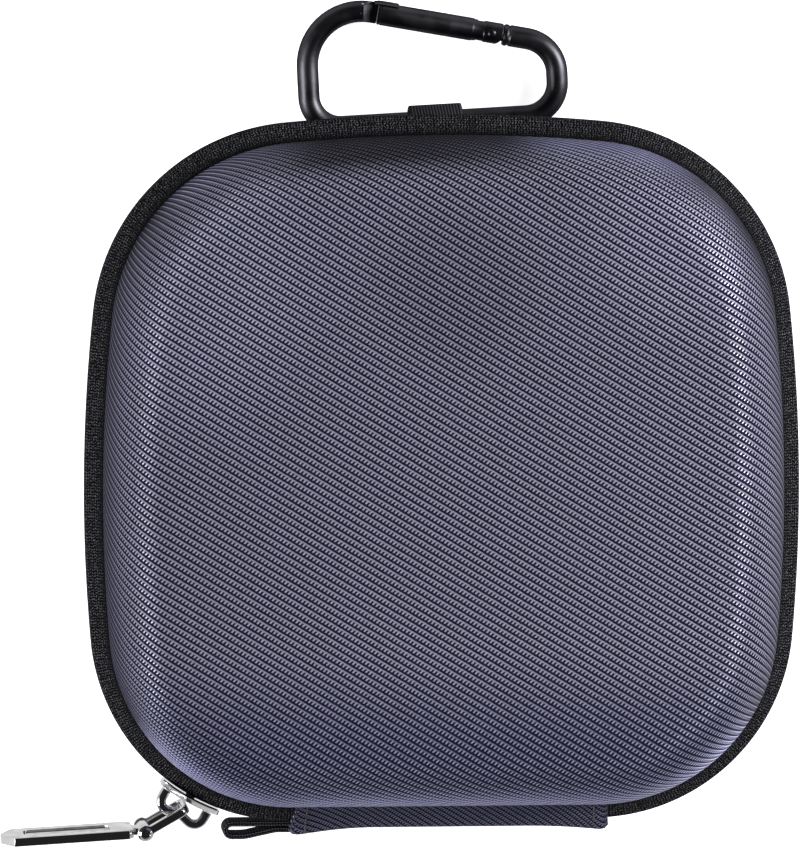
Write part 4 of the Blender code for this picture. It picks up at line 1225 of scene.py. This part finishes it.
# Pull: link, rivet and tab
pullSizes = {
    "direction": math.radians(209.7),
    "lean": math.radians(-6),
    "barDrop": 0.0009,
    "linkLength": 0.0104,
    "linkHalfHeight": 0.0040,
    "linkBend": 0.0016,
    "linkThickness": 0.0012,
    "linkWidth": 0.0019,
    "linkCorner": 0.00032,
    "linkStep": 0.00025,
    "knuckle": 0.0018,
    "rivet": 0.0008,
    "rivetHead": 0.0015,
    "rivetHeadHeight": 0.0005,
    "tabTurn": math.radians(-26.9),
    "tabStart": 0.0026,
    "tabStartCut": 0.0010,
    "tabLength": 0.0291,
    "tabWidth": 0.0095,
    "tabThickness": 0.0019,
    "tabCorner": 0.0038,
    "tabEndCut": 0.0026,
    "tabEdge": 0.00028,
    "recessLength": 0.0190,
    "recessWidth": 0.0050,
    "recessDepth": 0.00045,
    "recessCorner": 0.0012,
    "neckHeight": 0.0036,
    "neckOverlap": 0.0020,
    "lugRadius": 0.0016,
    "lugHeight": 0.0060,
}
linkPlace = (
    sliderPlace
    @ moved(plateOut + (sliderSizes["dip"] - pullSizes["barDrop"]) / 2, 0, 0)
    @ spun(pullSizes["direction"] - zipSizes["sliderAngle"], "Z")
    @ spun(pullSizes["lean"], "X")
)
armEnd, upper = pullSizes["linkLength"] + pullSizes["knuckle"], pullSizes["linkHalfHeight"]
linkBend = pullSizes["linkBend"]
linkPath = spaced(
    filleted((armEnd, upper, 0), (0, upper, linkBend), (0, -upper, linkBend), (armEnd, -upper, 0)),
    pullSizes["linkStep"],
)


def linkWidth(along, whole):
    # a round eye at each end of the wire
    fromEnd, eye = min(along, whole - along), pullSizes["knuckle"]
    chord = 2 * math.sqrt(max(0.0, eye ** 2 - (fromEnd - eye) ** 2)) if fromEnd < 2 * eye else 0.0
    return max(chord, pullSizes["linkWidth"] if fromEnd > eye else 0.0, 2.2 * pullSizes["linkCorner"])


link = ribbon(
    "pullLink", linkPath, pullSizes["linkThickness"], linkWidth, pullSizes["linkCorner"], brightNickel,
    linkPlace @ Matrix(((1, 0, 0, 0), (0, 0, 1, 0), (0, 1, 0, 0), (0, 0, 0, 1))),
)
finished(link, "pull_link", "bright_nickel", "pull_link")

rivetReach = upper + pullSizes["linkThickness"] / 2
headTop = rivetReach + gap + pullSizes["rivetHeadHeight"]
head = pullSizes["rivetHead"]
halfRivet = [
    (headTop - drop, head * share)
    for drop, share in (
        (0.00006, 0.10), (0.00006, 0.34), (0.00024, 0.44), (0.00024, 0.54), (0, 0.70), (0, 0.76), (0.00026, 1.0),
    )
]
halfRivet += [(rivetReach + 0.00003, head), (rivetReach + 0.00002, pullSizes["rivet"])]
rivetProfile = halfRivet + [(-along, radius) for along, radius in reversed(halfRivet)]
rivetPlace = linkPlace @ moved(pullSizes["linkLength"], 0, 0)
rivet = turned("pullRivet", rivetProfile, brightNickel, rivetPlace @ spun(-math.pi / 2, "Y"), 32)
finished(rivet, "pull_link", "bright_nickel", "pull_rivet")

tabStart, tabEnd = pullSizes["tabStart"], pullSizes["tabStart"] + pullSizes["tabLength"]
tabHalf, clip, startCut = pullSizes["tabWidth"] / 2, pullSizes["tabCorner"], pullSizes["tabStartCut"]
cutStart = tabEnd - pullSizes["tabEndCut"]
tabOutline = [
    (tabStart, startCut - tabHalf), (tabStart + startCut, -tabHalf), (cutStart, -tabHalf), (tabEnd, clip - tabHalf),
    (tabEnd, tabHalf - clip), (cutStart, tabHalf), (tabStart + startCut, tabHalf), (tabStart, tabHalf - startCut),
]
halfTab, neckHalf = pullSizes["tabThickness"] / 2, pullSizes["neckHeight"] / 2
tab = prism("pullTab", tabOutline, -halfTab, halfTab, brightNickel)
neck = prism(
    "tabNeck", block(0, -neckHalf, tabStart + pullSizes["neckOverlap"], neckHalf), -halfTab * 0.8, halfTab * 0.8,
    brightNickel,
)
lugReach, upright = pullSizes["lugHeight"], spun(math.pi / 2, "Z")
lug = turned(
    "tabLug", [(end * lugReach / 2, pullSizes["lugRadius"]) for end in (-1, 1)], brightNickel, upright, 32
)
lugHole = turned(
    "tabHole", [(end * lugReach, pullSizes["rivet"] + gap) for end in (-1, 1)], brightNickel, upright, 24
)
recessMiddle = tabStart + pullSizes["tabLength"] / 2
recessLong, recessTall = pullSizes["recessLength"] / 2, pullSizes["recessWidth"] / 2
recessOutline = roundedBlock(
    recessMiddle - recessLong, -recessTall, recessMiddle + recessLong, recessTall, pullSizes["recessCorner"]
)
deep, proud = halfTab - pullSizes["recessDepth"], halfTab + millimetre
recesses = [
    prism("tabRecess", recessOutline, low, high, brightNickel) for low, high in ((deep, proud), (-proud, -deep))
]
combine(tab, "UNION", neck, lug)
combine(tab, "DIFFERENCE", lugHole, *recesses)
roundEdges(tab, pullSizes["tabEdge"], sharpAngle=38)
settled(tab)
removed(neck, lug, lugHole, *recesses)
tab.data.transform(rivetPlace @ spun(pullSizes["tabTurn"], "Z") @ spun(math.pi / 2, "X"))
smoothed(tab.data, 40)
finished(tab, "pull_tab", "bright_nickel", "pull_tab")
print("slider and pull built")

# Webbing loop that carries the carabiner's bar
strapSizes = {
    "barReach": 0.0795,
    "barHeight": 0.0045,
    "barRadius": 0.0024,
    "barClearance": 0.0006,
    "width": 0.0118,
    "thickness": 0.0008,
    "corner": 0.0004,
    "plyGap": 0.00015,
    "lean": math.radians(25),
    "bendHeight": 0.0140,
    "bendRadius": 0.0040,
    "wallGap": 0.0004,
    "topDrop": 0.0056,
    "skew": math.radians(2.9),
    "step": 0.0005,
}
barReach, wire, skew = strapSizes["barReach"], strapSizes["barRadius"], strapSizes["skew"]
bendHeight, bendRadius = strapSizes["bendHeight"], strapSizes["bendRadius"]
wrapRadius = wire + strapSizes["barClearance"] + strapSizes["thickness"] / 2
strapTop = parting - strapSizes["topDrop"]
innerRoot = farReach - edgeInset + strapSizes["wallGap"] + strapSizes["thickness"] / 2
outerRoot = innerRoot + strapSizes["thickness"] + strapSizes["plyGap"]
barCentre = Vector((barReach, strapSizes["barHeight"]))
outerArm = Vector((outerRoot, bendHeight)) - barCentre
firstTouch = math.atan2(outerArm.y, outerArm.x) - math.acos(wrapRadius / outerArm.length)
lastTouch = -math.pi - strapSizes["lean"]
wrapPoints = [
    barCentre + heading(firstTouch + (lastTouch - firstTouch) * step / 40) * wrapRadius for step in range(41)
]
leaning = Vector((math.sin(strapSizes["lean"]), math.cos(strapSizes["lean"])))
innerBend = wrapPoints[-1] + leaning * ((bendHeight - wrapPoints[-1].y) / leaning.y)
outerPly = filleted((outerRoot, strapTop, 0), (outerRoot, bendHeight, bendRadius), (*wrapPoints[0], 0))
innerPly = filleted((*wrapPoints[-1], 0), (*innerBend, bendRadius), (innerRoot, strapTop, 0))
strap = ribbon(
    "webbingLoop", spaced(outerPly[:-1] + wrapPoints + innerPly[1:], strapSizes["step"]), strapSizes["thickness"],
    strapSizes["width"], strapSizes["corner"], webbing, standing,
)
for vertex in strap.data.vertices:
    lying = min(1.0, max(0.0, (vertex.co.y - innerRoot) / (barReach + wrapRadius - innerRoot)))
    vertex.co.y += lying * math.tan(skew) * vertex.co.x
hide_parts("webbing_loop")
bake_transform(strap)
print("webbing loop built")

# Carabiner, gate and gate pin
hookSizes = {
    "length": 0.0600,
    "noseCorner": 0.0119,
    "gateCorner": 0.0080,
    "barGateCorner": 0.0073,
    "barNoseCorner": 0.0070,
    "pinAlong": 0.0135,
    "pinAcross": 0.0190,
    "pinRadius": 0.00090,
    "pinReach": 0.00246,
    "gateSlope": math.radians(12.9),
    "gateLength": 0.0255,
    "gateRadius": 0.00255,
    "neckRadius": 0.00239,
    "neckStart": 0.0019,
    "neckEnd": 0.0043,
    "endGap": 0.00012,
    "noseGap": 0.00012,
    "collarReach": 0.00252,
    "slotReach": 0.0034,
    "slotHalf": 0.0011,
    "bore": [(0.0017, 0.0012), (0.0115, 0.0012)],
    "tongueHalf": 0.00145,
    "tongueRound": 0.0018,
    "tongueRoot": 0.0010,
    "tongueThickness": 0.0016,
    "lipProud": 0.00030,
    "lipSeat": 0.00004,
    "lipLeast": 0.00006,
    # places from the gate's end, and how far out the lip stands there
    "lipShape": [(0.0012, 0.0), (0.0002, 0.85), (-0.0012, 1.0), (-0.0039, 1.0), (-0.0042, 0.7)],
    "facetReach": 0.0036,
    "facetBow": 110,
    "facetStart": 0.0013,
    "facetLow": 0.00010,
    "facetSlope": 0.62,
    # distances along the wire up to which it has a share of its radius
    "ringShape": [(0.0002, 0.93), (0.0008, 1.01), (0.0014, 0.90), (0.0016, 1.01)],
    "noseShape": (0.0002, 0.95),
    "sides": 40,
    "step": 0.0004,
}
hookPlace = moved(0, *barCentre) @ spun(skew, "Z")
pinPlace = Vector((hookSizes["pinAlong"], hookSizes["pinAcross"]))
toNose = Vector((-math.cos(hookSizes["gateSlope"]), math.sin(hookSizes["gateSlope"])))
halfRun = hookSizes["length"] / 2 - wire
gateRadius, gateEnd = hookSizes["gateRadius"], hookSizes["gateLength"]
bodyEnd = gateRadius + hookSizes["endGap"]


def onGateLine(along):
    return pinPlace + toNose * ((along - pinPlace.x) / toNose.x)


hookPath = spaced(
    filleted(
        (*(pinPlace - toNose * bodyEnd), 0),
        (*onGateLine(halfRun), hookSizes["gateCorner"]),
        (halfRun, 0, hookSizes["barGateCorner"]),
        (-halfRun, 0, hookSizes["barNoseCorner"]),
        (*onGateLine(-halfRun), hookSizes["noseCorner"]),
        (*(pinPlace + toNose * (gateEnd + hookSizes["noseGap"])), 0),
    ),
    hookSizes["step"],
)


def wireRadius(fromStart, fromEnd):
    # a rounded ring beside the gate's pin, and a slightly eased nose
    for reach, share in hookSizes["ringShape"]:
        if fromStart < reach:
            return wire * share
    noseReach, noseShare = hookSizes["noseShape"]
    return wire * (noseShare if fromEnd < noseReach else 1.0)


hookLengths = runLengths(hookPath)
hookRows = []
for point, normal, length in zip(hookPath, sidesOf(hookPath), hookLengths):
    fromEnd = hookLengths[-1] - length
    ring = []
    for turn in range(hookSizes["sides"]):
        spoke = heading(2 * math.pi * turn / hookSizes["sides"]) * wireRadius(length, fromEnd)
        height = spoke.y
        # slanted facets on the nose, above and below
        if fromEnd < hookSizes["facetReach"] - hookSizes["facetBow"] * spoke.x ** 2:
            limit = hookSizes["facetLow"] + max(0.0, fromEnd - hookSizes["facetStart"]) * hookSizes["facetSlope"]
            height = max(-limit, min(limit, height))
        ring.append(hookPlace @ Vector((*(point + normal * spoke.x), height)))
    hookRows.append(ring)
hookBody = skin(
    "carabinerBody", hookRows, anodised, lambda i, j: (hookLengths[i], j * hookSizes["step"]), caps=True, sharpAngle=28
)
gatePlace = hookPlace @ moved(*pinPlace, 0) @ spun(math.pi - hookSizes["gateSlope"], "Z")
tongueHalf, tongueTop = hookSizes["tongueHalf"], hookSizes["tongueThickness"] / 2
tongueRoot = -bodyEnd - hookSizes["tongueRoot"]
tongueOutline = [
    (tongueRoot, -tongueHalf), (0.0004, -tongueHalf),
    *[tuple(heading(math.radians(turn)) * hookSizes["tongueRound"]) for turn in range(-54, 55, 12)],
    (0.0004, tongueHalf), (tongueRoot, tongueHalf),
]
tongue = prism("gateTongue", tongueOutline, -tongueTop, tongueTop, anodised, gatePlace, 0.0001)
finished(hookBody, "carabiner", "black_anodised", "carabiner_body")
finished(tongue, "carabiner", "black_anodised")

# Stop lip on the nose, over the outer side of the gate's end
lipArc = [-heading(math.radians(turn)) for turn in range(-40, 41, 8)]
lipRows = []
for past, share in hookSizes["lipShape"]:
    outer = gateRadius + hookSizes["lipLeast"] + hookSizes["lipProud"] * share
    inner = gateRadius + hookSizes["lipSeat"]
    ring = [Vector((gateEnd + past, *(arm * outer))) for arm in lipArc]
    ring += [Vector((gateEnd + past, *(arm * inner))) for arm in reversed(lipArc)]
    lipRows.append([gatePlace @ corner for corner in ring])
stopLip = skin("noseStopLip", lipRows, anodised, caps=True, sharpAngle=28)
finished(stopLip, "carabiner", "black_anodised")

collar, neckRadius = hookSizes["collarReach"], hookSizes["neckRadius"]
neckStart, neckEnd = hookSizes["neckStart"], hookSizes["neckEnd"]
gateProfile = [
    (along, gateRadius * share)
    for along, share in (
        (-collar, 0.90), (-collar + 0.00006, 0.96), (-collar + 0.00020, 1.0), (0.0, 1.0),
        (neckStart - 0.0004, 1.0), (neckStart - 0.0002, 0.98),
        (neckStart, neckRadius / gateRadius), (neckEnd - 0.0003, neckRadius / gateRadius),
        (neckEnd, 0.98), (neckEnd + 0.0002, 1.0), (gateEnd - 0.00075, 1.0), (gateEnd - 0.00065, 0.95),
        (gateEnd - 0.00045, 0.95), (gateEnd - 0.00035, 0.99), (gateEnd - 0.00010, 0.98), (gateEnd, 0.90),
    )
]
gate = turned("carabinerGate", gateProfile, anodised)
clear = gateRadius + millimetre
slotCut = prism(
    "gateSlot", block(-clear, -hookSizes["slotHalf"], hookSizes["slotReach"], hookSizes["slotHalf"]), -clear, clear,
    anodised, spun(math.pi / 2, "X"),
)
cornerArc = [heading(math.radians(turn)) * collar for turn in range(0, 91, 9)]
cornerOutline = [(-collar - millimetre, 0.0), *[(-arm.x, arm.y) for arm in cornerArc]]
cornerOutline += [(0.0, collar + millimetre), (-collar - millimetre, collar + millimetre)]
cornerCut = prism("gateCornerCut", cornerOutline, -clear, clear, anodised)
bore = turned("gateBore", hookSizes["bore"], anodised, sides=24)
combine(gate, "DIFFERENCE", slotCut, bore, cornerCut)
settled(gate)
removed(slotCut, bore, cornerCut)
gate.data.transform(gatePlace)
smoothed(gate.data, 28)
finished(gate, "carabiner_gate", "black_anodised", "carabiner_gate")

pinProfile = [
    (-hookSizes["pinReach"] - beyond, hookSizes["pinRadius"] * share)
    for beyond, share in ((0.00030, 0.2), (0.00027, 0.5), (0.00018, 0.8), (0.00006, 0.96), (-0.0001, 1.0))
]
pinProfile += [(-along, size) for along, size in reversed(pinProfile)]
gatePin = turned("gatePin", pinProfile, anodised, gatePlace @ spun(math.pi / 2, "Y"), 32)
finished(gatePin, "carabiner", "black_anodised", "gate_pin")
print("carabiner built")

# Small metal parts that stay as modelled
for name in ("gate_plunger", "gate_spring", "zip_stop_left", "zip_stop_right"):
    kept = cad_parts[name]
    kept.data.materials.clear()
    kept.data.materials.append(springSteel)
    if name.startswith("zip_stop"):
        roundEdges(kept, 0.0002, 2)

# Studio: floor, world, lamps and camera
studio = {
    "floorColour": (0.80, 0.80, 0.80),
    "floorBounce": (0.22, 0.22, 0.22),
    "floorGlow": 0.86,
    "mirrorGlow": 0.80,
    "floorSize": 6.0,
    "worldLight": 0.12,
    "ceiling": 0.03,
    "horizon": 1.0,
    "domeHeights": (0.10, 0.62),
    # name, place and power of each lamp
    "lamps": [("leftBox", (-0.90, -0.20, 0.53), 12.5), ("rightBox", (0.85, 0.30, 0.53), 17.5)],
    "lampWidth": 0.45,
    "lampHeight": 0.6,
    "lampAim": (0, 0, 0.03),
    "aim": (-0.00925, 0.01460, 0.0265),
    "leanLeft": math.radians(4.0),
    "leanFar": math.radians(6.5),
    "distance": 4.0,
    "frameHeight": 848 * 0.0002206,
    "sensor": 36.0,
}
bm = bmesh.new()
bmesh.ops.create_grid(bm, x_segments=8, y_segments=8, size=studio["floorSize"] / 2)
bm.loops.layers.uv.new("cloth")
floorLook, tree, shader = newLook(
    "studio_floor", Roughness=0.9, Specular_IOR_Level=0.0, Emission_Color=(1, 1, 1),
)
rays = node(tree, "LightPath")
direct = rays["Is Camera Ray"]
mirrored = calc("MAXIMUM", rays["Is Glossy Ray"], rays["Is Transmission Ray"])
fill(shader["Base Color"], mixed(direct, studio["floorBounce"], studio["floorColour"]))
fill(shader["Emission Strength"], direct * studio["floorGlow"] + mirrored * studio["mirrorGlow"])
fromBmesh("studioFloor", bm, floorLook)

world = bpy.data.worlds.new("studio")
scene.world = world
world.use_nodes = True
tree = world.node_tree
tree.nodes.clear()
rays = node(tree, "LightPath")
upward = split(node(tree, "TexCoord")["Generated"])["Z"]
domeLight = eased(upward, *studio["domeHeights"], studio["horizon"], studio["ceiling"])
dome = node(tree, "Background", {"Strength": domeLight})
white, lit = node(tree, "Background"), node(tree, "Background", {"Strength": studio["worldLight"]})
glossy = calc("MINIMUM", rays["Is Glossy Ray"] + rays["Is Transmission Ray"], 1.0)
unseen = node(tree, "MixShader", {0: glossy, 1: lit[0], 2: dome[0]})
shown = node(tree, "MixShader", {0: rays["Is Camera Ray"], 1: unseen[0], 2: white[0]})
node(tree, "OutputWorld", {"Surface": shown[0]})

for name, place, power in studio["lamps"]:
    data = bpy.data.lights.new(name, "AREA")
    data.shape = "RECTANGLE"
    data.size, data.size_y, data.energy = studio["lampWidth"], studio["lampHeight"], power
    lamp = linked(name, data)
    lamp.location = place
    lamp.rotation_euler = (Vector(studio["lampAim"]) - Vector(place)).to_track_quat("-Z", "Y").to_euler()

cameraData = bpy.data.cameras.new("camera")
camera = linked("camera", cameraData)
toCamera = Vector((-math.tan(studio["leanLeft"]), math.tan(studio["leanFar"]), 1)).normalized()
camera.location = Vector(studio["aim"]) + toCamera * studio["distance"]
rightward = Vector((0, 1, 0)).cross(toCamera).normalized()
camera.rotation_euler = Matrix((rightward, toCamera.cross(rightward), toCamera)).transposed().to_euler()
cameraData.sensor_width = studio["sensor"]
cameraData.lens = studio["sensor"] * studio["distance"] / studio["frameHeight"]
cameraData.clip_start, cameraData.clip_end = 0.01, 20
scene.camera = camera
scene.view_settings.view_transform = "Standard"
print("studio built")
